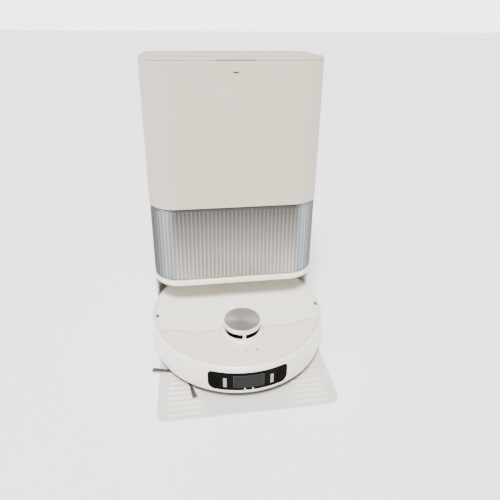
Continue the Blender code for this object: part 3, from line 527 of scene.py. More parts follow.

# painted shade: the station's white is a darker copy of the robot's white plastic, for its shaded front
SHADED_WHITE = surface("shaded_satin_white", "white_plastic", (0.45, 0.378, 0.30), 0.42, mottle=0.012, bump=0.05)
# painted shade: a darker white for the ramp's sheet, as shade between its lighter treads
SHADED_RAMP_WHITE = surface("shaded_ramp_white", "white_plastic", (0.61, 0.572, 0.53), 0.45, mottle=0.012, bump=0.06)
GLOSS_WHITE = surface(
    "gloss_white", "white_plastic", (0.75, 0.69, 0.615), 0.26, mottle=0.012, bump=0.02, **THIN_COAT
)
COVER_WHITE = surface(
    "cover_white", "white_plastic", (0.80, 0.75, 0.675), 0.30, mottle=0.01, bump=0.02, **CLEAR_COAT
)
STRIPED = striped_white()
SILVER = ribbed_silver()
DISC = brushed_disc()
GLASS_BLACK = surface("window_black", "black_window", [0.001] * 3, 0.12, mottle=0.1, bump=0.0, **MATT)
FRAME_BLACK = surface("frame_black", "black_window", [0.002] * 3, 0.35, mottle=0.1, **MATT)
CAMERA_GREY = surface(
    "camera_grey", "lens_panel", (0.013, 0.0125, 0.0125), 0.33, mottle=0.12, grain=3000, bump=0.1, **DULL
)
PANEL_RIM = surface("panel_rim", "lens_panel", (0.035, 0.034, 0.033), 0.35, mottle=0.05, **SILKY)
DIFFUSER = surface(
    "lamp_diffuser", "light_diffuser", (0.27, 0.24, 0.17), 0.35, mottle=0.05, mottle_scale=300
)
LED_WHITE = surface("led_white", "light_diffuser", (0.95, 0.95, 0.95), 0.3, mottle=0.01)
DARK = surface("dark_moulding", "dark_plastic", (0.035, 0.035, 0.038), 0.5, mottle=0.12, bump=0.10)
MID_GREY = surface("grey_moulding", "grey_plastic", (0.30, 0.30, 0.31), 0.5, mottle=0.06, bump=0.10)
PALE_GREY = surface("pale_grey_moulding", "grey_plastic", (0.52, 0.52, 0.51), 0.5, mottle=0.04, bump=0.08)
LINER_WHITE = surface("liner_white", "grey_plastic", (0.78, 0.78, 0.77), 0.5, mottle=0.02, bump=0.06)
ICON_GREY = surface("icon_grey", "grey_plastic", (0.085, 0.084, 0.082), 0.5)
TANK = surface("tinted_tank", "tank_plastic", (0.62, 0.68, 0.72), 0.12, bump=0.0, **SEE_THROUGH)
RUBBER = surface("black_rubber", "rubber", (0.022, 0.022, 0.023), 0.75, mottle=0.15, grain=900, bump=0.2)
BRISTLE = surface("bristle_brown", "dark_plastic", (0.055, 0.038, 0.035), 0.6, mottle=0.3, mottle_scale=400)
ARM_BROWN = surface("arm_brown", "dark_plastic", (0.028, 0.020, 0.019), 0.55, mottle=0.15)
STEEL = surface("hinge_steel", "steel", (0.55, 0.55, 0.56), 0.25, mottle=0.05, grain=2500, metallic=1.0)
PLATED = surface("plated_contact", "contact_metal", (0.72, 0.60, 0.36), 0.25, mottle=0.08, metallic=1.0)
BOARD = surface("board_green", "circuit_board", (0.020, 0.13, 0.065), 0.4, mottle=0.2, mottle_scale=120)
CARD = surface("grey_card", "card", (0.60, 0.55, 0.44), 0.85, mottle=0.1, mottle_scale=80, bump=0.3)
FLOOR = surface("pale_floor", None, (0.93, 0.93, 0.93), 0.7, mottle=0.004, bump=0.0)
PAPER = fabric("bag_fibre", (0.74, 0.71, 0.64), 500, 0.0003)
MOP = fabric("mop_pile", (0.42, 0.45, 0.50), 420, 0.0008)
FILTER = fabric("filter_fibre", (0.82, 0.82, 0.78), 900, 0.0002)


# ---------------- pieces
def piece(name, mesh, finish, body="station", where=(0, 0, 0), stands_for=None):
    """A visible object that rides a body, in place of a CAD node where it stands for one."""
    obj = bpy.data.objects.new(name, mesh)
    bpy.context.scene.collection.objects.link(obj)
    obj.location = where
    mesh.materials.clear()
    mesh.materials.append(finish)
    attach(obj, body)
    if stands_for:
        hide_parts(stands_for)
    return obj


def robot_piece(name, mesh, finish, body="robot", stands_for=None):
    return piece(name, mesh, finish, body, ROBOT, stands_for)


def softened(node, name, finish, width, body="station"):
    """A CAD node's own shape with rounded edges and a better finish, standing for the node."""
    bm = bmesh.new()
    bm.from_mesh(NODES[node].data)
    bmesh.ops.remove_doubles(bm, verts=bm.verts, dist=2e-6)
    bmesh.ops.dissolve_limit(bm, angle_limit=radians(0.5), verts=bm.verts, edges=bm.edges)
    piece(name, finished(as_mesh(bm), width), finish, body, stands_for=node)


# ---------------- station
def rear_vents():
    """Cutters for five level slots in the rear wall."""
    first_z, pitch = 0.1525, 0.012
    slots = []
    for row in range(5):
        slot = solid(rectangle(-0.120, -0.060, -0.0025, 0.0025, 0.0024), -FAR, 2 * WALL - BACK_Y)
        slots.append(moved(slot, (0, 0, first_z + pitch * row), (90, "X")))
    return together(*slots)


def hinge_post(x):
    """A post round the lid's hinge rod, with its top rounded about the rod."""
    front, back, foot, top = -0.0046, 0.0046, -0.0130, 0.0046
    shape = [(front + 0.0002, foot, 0), (back - 0.0004, foot, 0), (back, top, 0.0045), (front, top, 0.0045)]
    ends = (x - HINGE_POST_HALF, x + HINGE_POST_HALF)
    return loft([[(end, HINGE_Y + u, HINGE_Z + v) for u, v in filleted(shape)] for end in ends])


def build_tower():
    """The upper body and side walls, open at the front below the silver cover's top."""
    rim, foot = 0.0012, 0.0006
    low, high = shell_low.z, HINGE_Z
    section = [(foot, low), (0.0, low + foot)]
    section += rounded_top(high, rim, 3)
    section += [(WALL - foot, high), (WALL, high - foot), (WALL, low + foot), (WALL - foot, low)]
    body = loft([at_height(tower_outline(inset), z) for inset, z in section], wrap=True)
    front = box((-FAR, -FAR, -FAR), (FAR, SIDE_WALL_FRONT_Y, FRONT_PANEL_BOTTOM))
    groove_half, groove_z = 0.152, HINGE_Z - 0.0053
    groove = box((-groove_half, HINGE_FRONT_Y, groove_z), (groove_half, FAR, 2 * FAR))
    inlet = opening("power_inlet", BACK_Y - 2 * WALL, FAR)
    lamp = opening("status_light", FRONT_Y - WALL, FRONT_Y + 2 * WALL)
    body = carve(body, front, groove, inlet, lamp, rear_vents())
    for side, _ in SIDES:
        body = carve(body, hinge_post(side * HINGE_POST_X), operation="UNION")
    piece("tower_body", finished(body, 0.0004), SHADED_WHITE, stands_for="tower_shell")


def build_garage_liners():
    """Pale panels that line the garage's side walls, in front of the rear wall."""
    rear_low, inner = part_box("dock_panel")[0], HALF_WIDTH - WALL
    front_y, back_y = SIDE_WALL_FRONT_Y + 0.0004, rear_low.y - 0.0004
    low, high = rear_low.z, roof_low.z - 0.0010
    for side, word in SIDES:
        x0, x1 = sorted((side * (inner - 0.0008), side * (inner - 0.0002)))
        panel = box((x0, front_y, low), (x1, back_y, high))
        piece(f"garage_liner_{word}", finished(panel, 0.0002), LINER_WHITE)


def build_status_lamp():
    """A dark lens flush in its slot, as wide as a finger's tip."""
    low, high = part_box("status_light")
    half = (high.z - low.z) / 2 + 0.0002
    lens = moved(plate([rectangle(low.x, high.x, -half, half, 0.0008)], -0.0018, 0, 0.0002), turn=(90, "X"))
    where = (0, FRONT_Y + 0.0001, (low.z + high.z) / 2)
    mesh = finished(lens)
    piece("status_lens", mesh, FRAME_BLACK, "station", where, "status_light")


def build_lid():
    """The lid, with a finger grip under its front edge and notches for the hinge posts."""
    low, high, edge, foot = HINGE_Z + LID_GAP, lid_high.z, 0.0016, 0.0004
    section = [(foot, low), (0.0, low + foot)]
    section += rounded_top(high, edge, 4)
    lid = loft([at_height(tower_outline(inset), z) for inset, z in section])
    grip = solid(rectangle(-0.0345, 0.0345, -0.0200, 0.0110, 0.0030), low - 0.001, low + 0.0013)
    moved(grip, (0, FRONT_Y, 0))
    half, reach = HINGE_POST_HALF + 0.0004, 0.02
    notches = []
    for side, _ in SIDES:
        x = side * HINGE_POST_X
        notch_low = (x - half, HINGE_FRONT_Y, low - reach)
        notches.append(box(notch_low, (x + half, HINGE_Y + reach, high + reach)))
    lid = carve(lid, grip, together(*notches))
    piece("lid_panel", finished(lid, 0.0003), SHADED_WHITE, "lid", stands_for="station_lid")


def build_lid_barrels():
    """The lid's hinge barrels, round the rod between and beside the posts."""
    radius, edge, end, gap = 0.0047, 0.0006, 0.1485, 0.0010
    inside, outside = HINGE_POST_X - HINGE_POST_HALF - gap, HINGE_POST_X + HINGE_POST_HALF + gap

    def ring(inset):
        return circle(radius - inset, 32)

    barrels = []
    for start, stop in ((-end, -outside), (-inside, inside), (outside, end)):
        barrel = solid(ring(0), start, stop, edge, 1, ring)
        barrels.append(moved(barrel, (0, HINGE_Y, HINGE_Z), (90, "Y")))
    piece("lid_hinge_barrels", finished(together(*barrels)), SHADED_WHITE, "lid")


def cover_place(s):
    """Point and outward normal at a distance along the dust cover from its left end."""
    side = -1 if s < COVER_LENGTH / 2 else 1
    past_front = abs(s - COVER_LENGTH / 2) - COVER_CORNER_X
    a = min(pi / 2, max(0.0, past_front / COVER_CORNER))
    nx, ny = sin(a), -cos(a)
    x = COVER_CORNER_X + min(0.0, past_front) + nx * COVER_CORNER
    behind_corner = max(0.0, past_front - COVER_CORNER * pi / 2)
    y = door_low.y + COVER_CORNER + ny * COVER_CORNER + behind_corner
    return (side * x, y), (side * nx, ny)


def along_cover(rows, columns, crest=None):
    """A strip that follows the cover. rows are (height, outward offset, share of the ribs)."""
    loops = []
    for k in range(columns + 1):
        (x, y), (nx, ny) = cover_place(COVER_LENGTH * k / columns)
        loop = []
        for z, base, share in rows:
            out = base + (crest(k) * share if crest else 0)
            loop.append((x + nx * out, y + ny * out, z))
        loops.append(loop)
    return loft(loops)


def mark_ridges(mesh):
    """Stores how far each point stands out on its rib, from 0 in a groove to 1 on a crest."""
    ridge = mesh.attributes.new("ridge", "FLOAT", "POINT")
    for v, stored in zip(mesh.vertices, ridge.data):
        aside = max(0.0, abs(v.co.x) - COVER_CORNER_X)
        behind = min(0.0, v.co.y - door_low.y - COVER_CORNER)
        out = sqrt(aside**2 + behind**2) - COVER_CORNER
        stored.value = min(1.0, max(0.0, out / RIB_HEIGHT))


def cover_section(low, high):
    """The cover's section up its face, over the ribs' tops and the plain band, and down inside."""
    band, fade = 0.0052, 0.0016
    rib_top = high - band - fade
    rows = [(low, -0.0005, 0.0), (low + 0.0005, 0.0, 0.55), (low + 0.003, 0.0, 0.9)]
    rows += [(low + (rib_top - low) * t, 0.0, 1.0) for t in (0.1, 0.4, 0.7, 1.0)]
    for t in (0.2, 0.4, 0.6, 0.8, 1.0):
        rows.append((rib_top + fade * t, 0.0, sqrt(1 - t * t)))
    rows += [(high - 0.0008, 0.0, 0.0), (high - 0.0002, -0.0002, 0.0), (high, -0.0008, 0.0)]
    rows += [(high, -WALL + 0.0004, 0.0), (high - 0.0004, -WALL, 0.0)]
    return rows + [(low + 0.0004, -WALL, 0.0), (low, -WALL + 0.0004, 0.0)]


def build_dust_cover():
    """The wrap-round silver cover with its row of upright ribs, under a dark strip of painted
    shadow and above a rubber sealing strip.
    """
    ribs, samples, gap_strip = 51, 14, 0.0016
    low, high = door_low.z, door_high.z - gap_strip

    def crest(k):
        return RIB_HEIGHT * (0.5 - 0.5 * cos(2 * pi * (k % samples) / samples)) ** 1.3

    mesh = along_cover(cover_section(low, high), ribs * samples, crest)
    mark_ridges(mesh)
    mesh.shade_smooth()
    mesh.set_sharp_from_angle(angle=radians(50))
    piece("ribbed_cover", mesh, SILVER, "dust_cover", stands_for="dust_door")
    inner, outer = -WALL + 0.0006, -0.0004
    # the top strip is painted shadow for the gap under the white body; the bottom one is a rubber sealing
    # strip
    for word, z0, z1 in (("top", high, door_high.z), ("bottom", low - 0.0007, low)):
        strip = along_cover([(z0, inner, 0), (z0, outer, 0), (z1, outer, 0), (z1, inner, 0)], 120)
        piece(f"cover_dark_strip_{word}", finished(strip, sharp=60), RUBBER, "dust_cover")


def roof_outline(inset):
    """The ceiling's plan: rounded with the cover in front, stepped in behind the side walls."""
    radius, centre_x, inner_x, rear = 0.058, 0.112, 0.1665, 0.0365
    centre_y, step_y, rear_y = roof_low.y + radius, SIDE_WALL_FRONT_Y - 0.0005, roof_high.y - rear
    points = arc((-centre_x, centre_y), radius - inset, 180, 270, 18)
    points += arc((centre_x, centre_y), radius - inset, 270, 360, 18)
    points += [(HALF_WIDTH - inset, step_y - inset), (inner_x - inset, step_y - inset)]
    points += arc((inner_x - rear, rear_y), rear - inset, 0, 90, 10)
    points += arc((rear - inner_x, rear_y), rear - inset, 90, 180, 10)
    return points + [(inset - inner_x, step_y - inset), (inset - HALF_WIDTH, step_y - inset)]


def build_roof():
    """The white strip below the cover and the garage's ceiling behind it."""
    roof = solid(roof_outline(0), roof_low.z, roof_high.z, 0.0018, 4, roof_outline)
    pocket = mirrored([(0.160, 0.016, 0.048), (0.160, 0.200, 0.030)])
    tray = solid(pocket, roof_low.z + WALL, roof_high.z + 0.01)
    duct = solid(circle(0.0125, 32, (0.065, 0.1932)), 0.10, 0.15)
    mesh = finished(carve(roof, tray, duct))
    piece("garage_strip", mesh, GLOSS_WHITE, stands_for="garage_roof")


def build_base_floor():
    """The base plate, with a narrower tongue under the ramp and a hole for the washboard."""
    low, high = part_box("base_plate")
    step_y, tongue, corner, gap = low.y + 0.0495, 0.160, 0.001, 0.0004
    right = [(tongue, low.y, corner), (tongue, step_y, 0)]
    right += [(HALF_WIDTH, step_y, corner), (HALF_WIDTH, high.y, CORNER_REAR)]
    tray_low, tray_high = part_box("washboard")
    hole = rectangle(tray_low.x - gap, tray_high.x + gap, tray_low.y - gap, tray_high.y + gap, 0.006)
    base = plate([mirrored(right, 6), hole[::-1]], low.z, high.z, 0.0005)
    piece("base_floor", finished(base), SHADED_WHITE, stands_for="base_plate")


def build_ramp():
    """The ramp's sheet, with a ladder of raised treads under each drive wheel's track."""
    low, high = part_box("ramp_plate")
    top, outline = 0.0026, mirrored([(high.x, low.y, 0.018), (high.x, high.y, 0.003)], 6)
    ramp = plate([outline], low.z, top, 0.0010, 4)
    # painted shade: the sheet is darker than the treads raised on it
    piece("ramp_sheet", finished(ramp), SHADED_RAMP_WHITE, stands_for="ramp_plate")
    first_y, pitch, width, inner_x, outer_x = low.y + 0.0085, 0.0115, 0.0055, 0.083, 0.141
    ribs = []
    for row in range(11):
        y = first_y + pitch * row
        for x0, x1 in ((-outer_x, -inner_x), (inner_x, outer_x)):
            ribs.append(rectangle(x0, x1, y, y + width, width * 0.49, 20))
    treads = plate(ribs, top - 0.0009, high.z, 0.0007, 3)
    piece("ramp_treads", finished(treads), GLOSS_WHITE)


def build_bag():
    """The paper dust bag: a soft pillow that bulges, creased where it folds at its ends."""
    bag_low, bag_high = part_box("dust_bag")
    centre, half = (bag_low + bag_high) / 2, (bag_high - bag_low) / 2
    bm = bmesh.new()
    bmesh.ops.create_cube(bm, size=2.0)
    bmesh.ops.subdivide_edges(bm, edges=bm.edges, cuts=23, use_grid_fill=True)
    power, fullness, fold_z = 5.0, 0.95, 0.15
    for v in bm.verts:
        p = v.co
        p /= (abs(p.x) ** power + abs(p.y) ** power + abs(p.z) ** power) ** (1 / power)
        sag = -0.05 * (1 - p.z) / 2
        crease = 0.035 * noise.noise(Vector((p.x * 2.2, p.y * 2.2, p.z * 5)))
        fold = -0.045 * max(0.0, 1 - abs(p.z - fold_z) * 5) * (abs(p.x) > 0.5 or abs(p.y) > 0.5)
        p *= min(1.0, fullness + sag + crease + fold)
        v.co = centre + Vector((p.x * half.x, p.y * half.y, p.z * half.z))
    mesh = cleaned(bm)
    mesh.shade_smooth()
    bag = piece("fibre_bag", mesh, PAPER, stands_for="dust_bag")


def build_motor():
    """The suction motor's can, with a ribbed waist and stepped ends."""
    low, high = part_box("suction_motor")
    middle, height, waist, ribs, groove = (low + high) / 2, high.z - low.z, 0.042, 36, 0.0008
    profile = filleted(
        [
            (0.0, height, 0),
            (0.030, height, 0.002),
            (waist, height - 0.008, 0.004),
            (waist, 0.014, 0.004),
            (0.034, 0.0, 0.002),
            (0.0, 0.0, 0),
        ]
    )

    def ribbing(i, a):
        on_waist = profile[i][0] > waist - 0.0005
        return -groove * (0.5 + 0.5 * cos(ribs * a)) if on_waist else 0

    can, where = finished(revolve(profile, 6 * ribs, ribbing)), (middle.x, middle.y, low.z)
    piece("motor_can", can, DARK, where=where, stands_for="suction_motor")


# ---------------- robot shells
def wall_section():
    """The robot's wall, from the lip round its top to its turned-in foot."""
    top, foot, outer, inner = 0.0707, 0.0190, ROBOT_RADIUS, ROBOT_RADIUS - ROBOT_WALL
    corners = [
        (LIP_RADIUS, top, 0.0004),
        (outer, top, 0.0064),
        (outer, 0.0270, 0.006),
        (outer - 0.0015, foot, 0.0006),
        (inner - 0.0015, foot, 0.0004),
        (inner, 0.0270, 0.003),
        (inner, 0.0610, 0.003),
        (LIP_RADIUS, 0.0680, 0.0004),
    ]
    return filleted(corners, 9)


def bumper_section():
    """The bumper's wall, which reaches lower than the robot's own."""
    foot, outer, inner = 0.0130, ROBOT_RADIUS, ROBOT_RADIUS - ROBOT_WALL
    corners = [
        (outer - 0.0001, BUMPER_TOP, 0.0006),
        (outer, 0.0240, 0.008),
        (outer - 0.0018, foot, 0.0008),
        (inner - 0.0018, foot, 0.0004),
        (inner, 0.0240, 0.003),
        (inner, BUMPER_TOP, 0.0004),
    ]
    return filleted(corners, 9)


def on_wall(outline, inner, outer, middle=0.0):
    """A panel that follows the robot's round wall, with its outline's middle turned round
    from the front by an angle. The outline is (distance along, height)."""
    flat = bmesh.new()
    face = flat.faces.new([flat.verts.new((x, z, 0)) for x, z in outline])
    bmesh.ops.triangulate(flat, faces=[face])
    lowest, highest, widest = min(x for x, z in outline), max(x for x, z in outline), 0.004
    count = max(2, ceil((highest - lowest) / widest))
    for i in range(1, count):
        x = lowest + (highest - lowest) * i / count
        geometry = flat.verts[:] + flat.edges[:] + flat.faces[:]
        bmesh.ops.bisect_plane(flat, geom=geometry, plane_co=(x, 0, 0), plane_no=(1, 0, 0))
    bm = bmesh.new()
    bm.from_mesh(as_mesh(flat))
    made = bmesh.ops.extrude_face_region(bm, geom=bm.faces[:])
    for part in made["geom"]:
        if isinstance(part, bmesh.types.BMVert):
            part.co.z = 1.0
    for v in bm.verts:
        r = inner + (outer - inner) * v.co.z
        a = radians(middle - 90) + v.co.x / ROBOT_RADIUS
        v.co = Vector((r * cos(a), r * sin(a), v.co.y))
    return cleaned(bm)


def build_robot_wall():
    """The fixed wall behind the bumper, with a dark edge sensor near its left end."""
    wall = revolve(wall_section(), 240)
    front = box((-FAR, -FAR, -FAR), (FAR, BUMPER_END_Y + BUMPER_GAP, BUMPER_TOP + 0.0006))
    sensor, angle = rectangle(-0.0022, 0.0014, 0.0350, 0.0570, 0.0012), -70.2
    wall = carve(wall, front)
    wall = carve(wall, on_wall(sensor, ROBOT_RADIUS - 0.001, ROBOT_RADIUS + 0.002, angle))
    robot_piece("robot_wall", finished(wall, 0.0003), GLOSS_WHITE, stands_for="side_shell")
    eye = on_wall(shrunk(sensor, 0.0002), ROBOT_RADIUS - 0.0008, ROBOT_RADIUS - 0.0004, angle)
    robot_piece("edge_sensor", finished(eye), GLASS_BLACK)


def build_bumper_tongues():
    """Pale guides behind the wall's two ends, which the bumper slides along."""
    outline = rectangle(-0.007, 0.007, 0.0200, 0.0610, 0.001)
    for side, word in SIDES:
        tongue = on_wall(outline, ROBOT_RADIUS - 0.0062, ROBOT_RADIUS - 0.0040, side * 68.9)
        robot_piece(f"bumper_tongue_{word}", finished(tongue), PALE_GREY)


def front_half(mesh):
    """The mesh with everything behind the bumper's ends cut away."""
    return carve(mesh, box((-FAR, BUMPER_END_Y, -FAR), (FAR, FAR, FAR)))


def build_bumper():
    """The bumper's white skin, open for the window, and a dark lip under its lower edge."""
    skin = front_half(revolve(bumper_section(), 240))
    skin = carve(skin, on_wall(window_outline(0.0), ROBOT_RADIUS - 0.006, ROBOT_RADIUS + 0.004))
    robot_piece("bumper_skin", finished(skin, 0.0004), GLOSS_WHITE, "front_bumper", "bumper")
    inner, outer, low, high = ROBOT_RADIUS - 0.0038, ROBOT_RADIUS - 0.0016, 0.0116, 0.0140
    ring = [(inner, low, 0.0003), (outer, low, 0.0008), (outer, high, 0.0003), (inner, high, 0.0003)]
    robot_piece("bumper_lip", finished(front_half(turned(ring, 240))), RUBBER, "front_bumper")


def window_outline(inset):
    half, low, high = 0.0733 - inset, 0.0205 + inset, 0.0597 - inset
    return mirrored([(half, low, 0.0125), (half, high, 0.0085)], 9)


def build_window():
    """The black front window: a gloss band with a camera cover in a dull surround."""
    face, body = ROBOT_RADIUS - 0.0004, "front_bumper"
    window = finished(on_wall(window_outline(0.0003), face - 0.0030, face), 0.0004, angle=60)
    robot_piece("front_window", window, GLASS_BLACK, body, "sensor_window")
    surround = on_wall(rectangle(-0.0500, 0.0500, 0.0225, 0.0575, 0.003), face - 0.0010, face + 0.00015)
    robot_piece("window_surround", finished(surround), FRAME_BLACK, body)
    outline = rectangle(-0.0275, 0.0275, 0.0272, 0.0530, 0.0016)
    rim = on_wall(outline, face - 0.0008, face + 0.0003)
    robot_piece("camera_rim", finished(rim, 0.0001), PANEL_RIM, body)
    lens = on_wall(shrunk(outline, 0.0007), face - 0.0006, face + 0.0004)
    robot_piece("camera_cover", finished(lens, 0.0001), CAMERA_GREY, body, "camera_panel")
    for side, word in SIDES:
        build_window_lamps(face, side, word)


def build_window_lamps(face, side, word):
    """One side's tall lamp in its frame, and its LED below the camera cover."""
    body, lamp_angle, led_angle = "front_bumper", side * 13.8, side * 2.3
    outline = rectangle(-0.0034, 0.0034, 0.0272, 0.0475, 0.0008)
    cup = on_wall(outline, face - 0.0008, face + 0.0003, lamp_angle)
    robot_piece(f"lamp_frame_{word}", finished(cup, 0.0001), PANEL_RIM, body)
    lamp = on_wall(shrunk(outline, 0.0006), face - 0.0005, face + 0.00045, lamp_angle)
    robot_piece(f"lamp_{word}", finished(lamp, 0.0001), DIFFUSER, body, f"light_{word}")
    dot = on_wall(circle(0.0013, 20, (0, 0.0240)), face - 0.0006, face + 0.0005, led_angle)
    robot_piece(f"window_led_{word}", finished(dot), LED_WHITE, body)


def seam_ends(radius, shift):
    """How far from the middle the shifted seam meets the turret's recess and the rim."""
    turret_x = sqrt(RECESS_RADIUS**2 - (seam_y(0) + shift - TURRET.y) ** 2)
    return turret_x, sqrt(radius**2 - (seam_y(radius) + shift) ** 2)


def half_deck(radius, front):
    """The robot's round top in front of the seam, or behind it, cut round the turret."""
    side = 1 if front else -1
    shift = -side * SEAM_GAP
    turret_x, rim_x = seam_ends(radius, shift)
    rim = degrees(asin((seam_y(radius) + shift) / radius))
    recess = degrees(asin((seam_y(0) + shift - TURRET.y) / RECESS_RADIUS))
    round_rim = (-180 - rim, rim, 100) if front else (rim, 180 - rim, 120)
    round_turret = (recess, -180 - recess) if front else (180 - recess, recess)
    outline = arc((0, 0), radius, *round_rim)[1:-1]
    outline += seam(side * rim_x, side * turret_x, shift)
    outline += arc((0, TURRET.y), RECESS_RADIUS, *round_turret, 30)[1:-1]
    return outline + seam(-side * turret_x, -side * rim_x, shift)


def key_slot():
    return rectangle(-0.0304, 0.0304, BUTTON_Y - 0.0054, BUTTON_Y + 0.0054, 0.0053)


def build_front_deck():
    outlines = [half_deck(DECK_RADIUS, True), key_slot()[::-1]]
    deck = plate(outlines, DECK_TOP - 0.0030, DECK_TOP, 0.0005, 3)
    robot_piece("deck_front", finished(deck), STRIPED, stands_for="top_deck")


def build_deck_under():
    """The grey plate under both halves, open for the turret, the dust bin and the keys."""
    below, above, gap = 0.05, 0.09, 0.0015
    plain = [circle(DECK_RADIUS - 0.0016, 120)]
    disc = plate(plain, deck_low.z - ROBOT.z, DECK_TOP - 0.0052, 0.0003)
    well = moved(solid(circle(RECESS_RADIUS, 60), below, above), TURRET)
    bin_low, bin_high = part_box("dust_box")
    hole_low = (bin_low.x - gap, bin_low.y - gap - ROBOT.y, below)
    hole = box(hole_low, (bin_high.x + gap, bin_high.y + gap - ROBOT.y, above))
    disc = carve(disc, well, hole, solid(key_slot(), below, above))
    robot_piece("deck_under", finished(disc), MID_GREY)


def build_deck_gap_strips():
    """A dark strip in the seam between the halves as painted shadow, and a grey ring round
    the rear cover.
    """
    depth, half, edge = 0.0010, SEAM_GAP - 0.0001, 0.0001
    turret_x, rim_x = seam_ends(COVER_RADIUS, SEAM_GAP)
    # painted shadow: a dark strip just under the top, so the seam reads as a shaded gap
    for side, word in SIDES:
        start, end = sorted((side * (turret_x + 0.0006), side * (rim_x - 0.0012)))
        strip = seam(start, end, -half) + seam(end, start, half)
        gap_strip = plate([strip], deck_low.z - ROBOT.z, DECK_TOP - depth, edge, 1)
        robot_piece(f"seam_shadow_strip_{word}", finished(gap_strip), RUBBER)
    ring = [circle(LIP_RADIUS, 180), circle(COVER_RADIUS, 180)[::-1]]
    gap_strip = plate(ring, DECK_TOP - 0.0030, DECK_TOP - 0.0007, edge, 1)
    robot_piece("rim_seal", finished(gap_strip), MID_GREY)


def build_rear_cover():
    """The hinged rear cover, with a small dark catch in a notch on either side."""
    cover = plate([half_deck(COVER_RADIUS, False)], DECK_TOP - 0.0040, DECK_TOP, 0.0005, 3)
    middle_y, notches, pads = -0.0155, [], []
    for side, word in SIDES:
        x0, x1 = sorted((side * 0.1600, side * 0.18))
        notch = rectangle(x0, x1, middle_y - 0.0056, middle_y + 0.0056, 0.0008)
        notches.append(solid(notch, 0.0690, 0.08))
        x0, x1 = sorted((side * 0.1602, side * 0.1666))
        pad = rectangle(x0, x1, middle_y - 0.0054, middle_y + 0.0054, 0.0007)
        pads.append((word, plate([pad], 0.0686, 0.0700, 0.0002)))
    mesh = finished(carve(cover, together(*notches)))
    robot_piece("cover_rear", mesh, COVER_WHITE, "top_cover", "rear_cover")
    for word, pad in pads:
        robot_piece(f"cover_catch_{word}", finished(pad), ICON_GREY, "top_cover")


def key_marks():
    """Outlines of the marks on the keys: a house, a ring with a bar and a ring with a dot."""
    wall, eaves, ridge = 0.0026, 0.0005, 0.0030
    house = [(-wall, -wall), (wall, -wall), (wall, eaves), (0.0, ridge), (-wall, eaves)]
    ring = [circle(0.0030, 28), circle(0.0020, 28)[::-1]]
    bar = rectangle(-0.0004, 0.0004, -0.0004, 0.0017, 0.00035)
    return {
        "home": [house, shrunk(house, 0.0009)[::-1]],
        "power": [*ring, bar],
        "spot": [*ring, circle(0.0011, 16)],
    }


def build_keys():
    """Three keys in one row with rounded ends, each with its mark, and a small LED behind."""
    depth, square, end, low, high = 0.0050, 0.0006, 0.0049, 0.0670, DECK_TOP + 0.0003
    keys = (
        ("home", -0.0300, -0.0104, end, square),
        ("power", -0.0100, 0.0100, square, square),
        ("spot", 0.0104, 0.0300, square, end),
    )
    marks = key_marks()
    for name, x0, x1, left, right in keys:
        half, body = (x1 - x0) / 2, f"key_{name}"
        corners = [(half, -depth, right), (half, depth, right), (-half, depth, left), (-half, -depth, left)]
        cap = plate([filleted(corners)], low, high, 0.0003)
        where = ROBOT + Vector(((x0 + x1) / 2, BUTTON_Y, 0))
        piece(f"{name}_key", finished(cap), GLOSS_WHITE, body, where, f"button_{name}")
        mark = plate(marks[name], high - 0.0001, high + 0.00008, 0.00002, 1)
        piece(f"{name}_mark", finished(mark), ICON_GREY, body, where)
    dot = plate([circle(0.0009, 16)], DECK_TOP - 0.0003, DECK_TOP + 0.0001, 0.00003, 1)
    moved(dot, (0.0014, -0.120, 0))
    robot_piece("deck_led", finished(dot), ICON_GREY)


def build_turret_skirt():
    skirt = [
        (0.0322, 0.0605, 0),
        (0.0406, 0.0605, 0),
        (0.0406, 0.0716, 0.0006),
        (0.0372, 0.0737, 0.0026),
        (0.0362, 0.0785, 0.0005),
        (0.0349, 0.0785, 0.0003),
        (0.0349, 0.0750, 0),
        (0.0322, 0.0750, 0),
    ]
    mesh = finished(turned(skirt))
    piece("turret_skirt", mesh, GLOSS_WHITE, "robot", ROBOT + TURRET, "turret_base")


def build_sensor_head():
    """The dark drum that turns inside the turret, with two barrels behind its slot."""
    place, body, radius, low, high = ROBOT + TURRET, "sensor_head", 0.0312, 0.0655, 0.0868
    drum = turned([(0.0, high, 0), (radius, high, 0.0008), (radius, low, 0.0005), (0.0, low, 0)])
    slot = solid(rectangle(-0.016, 0.016, 0.0775, 0.0850, 0.002), 0.0265, 0.04)
    drum = finished(carve(drum, moved(slot, turn=(90, "X"))), 0.0002)
    piece("sensor_drum", drum, GLASS_BLACK, body, place, "lds_head")
    for side, word in ((-1, "emitter"), (1, "receiver")):
        barrel = solid(circle(0.0026, 28), 0.0262, 0.0290, 0.0004, 2)
        moved(barrel, (side * 0.0075, 0, 0.0812), (90, "X"))
        piece(f"laser_{word}", finished(barrel), CAMERA_GREY, body, place)


def build_turret_crown():
    """The turret's cap on three posts, and the turned metal disc let into its top."""
    place, body, top, inner, outer = ROBOT + TURRET, "sensor_cap", TURRET_TOP, 0.0324, 0.0353
    skirt_low, ceiling, recess, disc = 0.0872, 0.0925, 0.0011, 0.0339
    cap = [
        (0.0, top - recess, 0),
        (disc + 0.0002, top - recess, 0.0001),
        (disc + 0.0003, top - 0.0001, 0.0001),
        (outer, top - 0.0001, 0.0006),
        (outer, skirt_low, 0.0006),
        (inner, skirt_low, 0.0003),
        (inner, ceiling, 0.0005),
        (0.0, ceiling, 0),
    ]
    posts = []
    for turn in (0, 120, 240):
        post = solid(rectangle(-0.0027, 0.0027, -0.0345, -0.0326, 0.0005), 0.0762, 0.0885)
        posts.append(moved(post, turn=(turn, "Z")))
    shell = finished(carve(turned(cap), together(*posts), operation="UNION"), 0.0002)
    piece("turret_crown", shell, GLOSS_WHITE, body, place, "turret_cap")
    under = top - 0.0010
    plate_mesh = finished(turned([(0.0, top, 0), (disc, top, 0.0003), (disc, under, 0), (0.0, under, 0)]))
    piece("turret_plate", plate_mesh, DISC, body, place, "turret_disc")


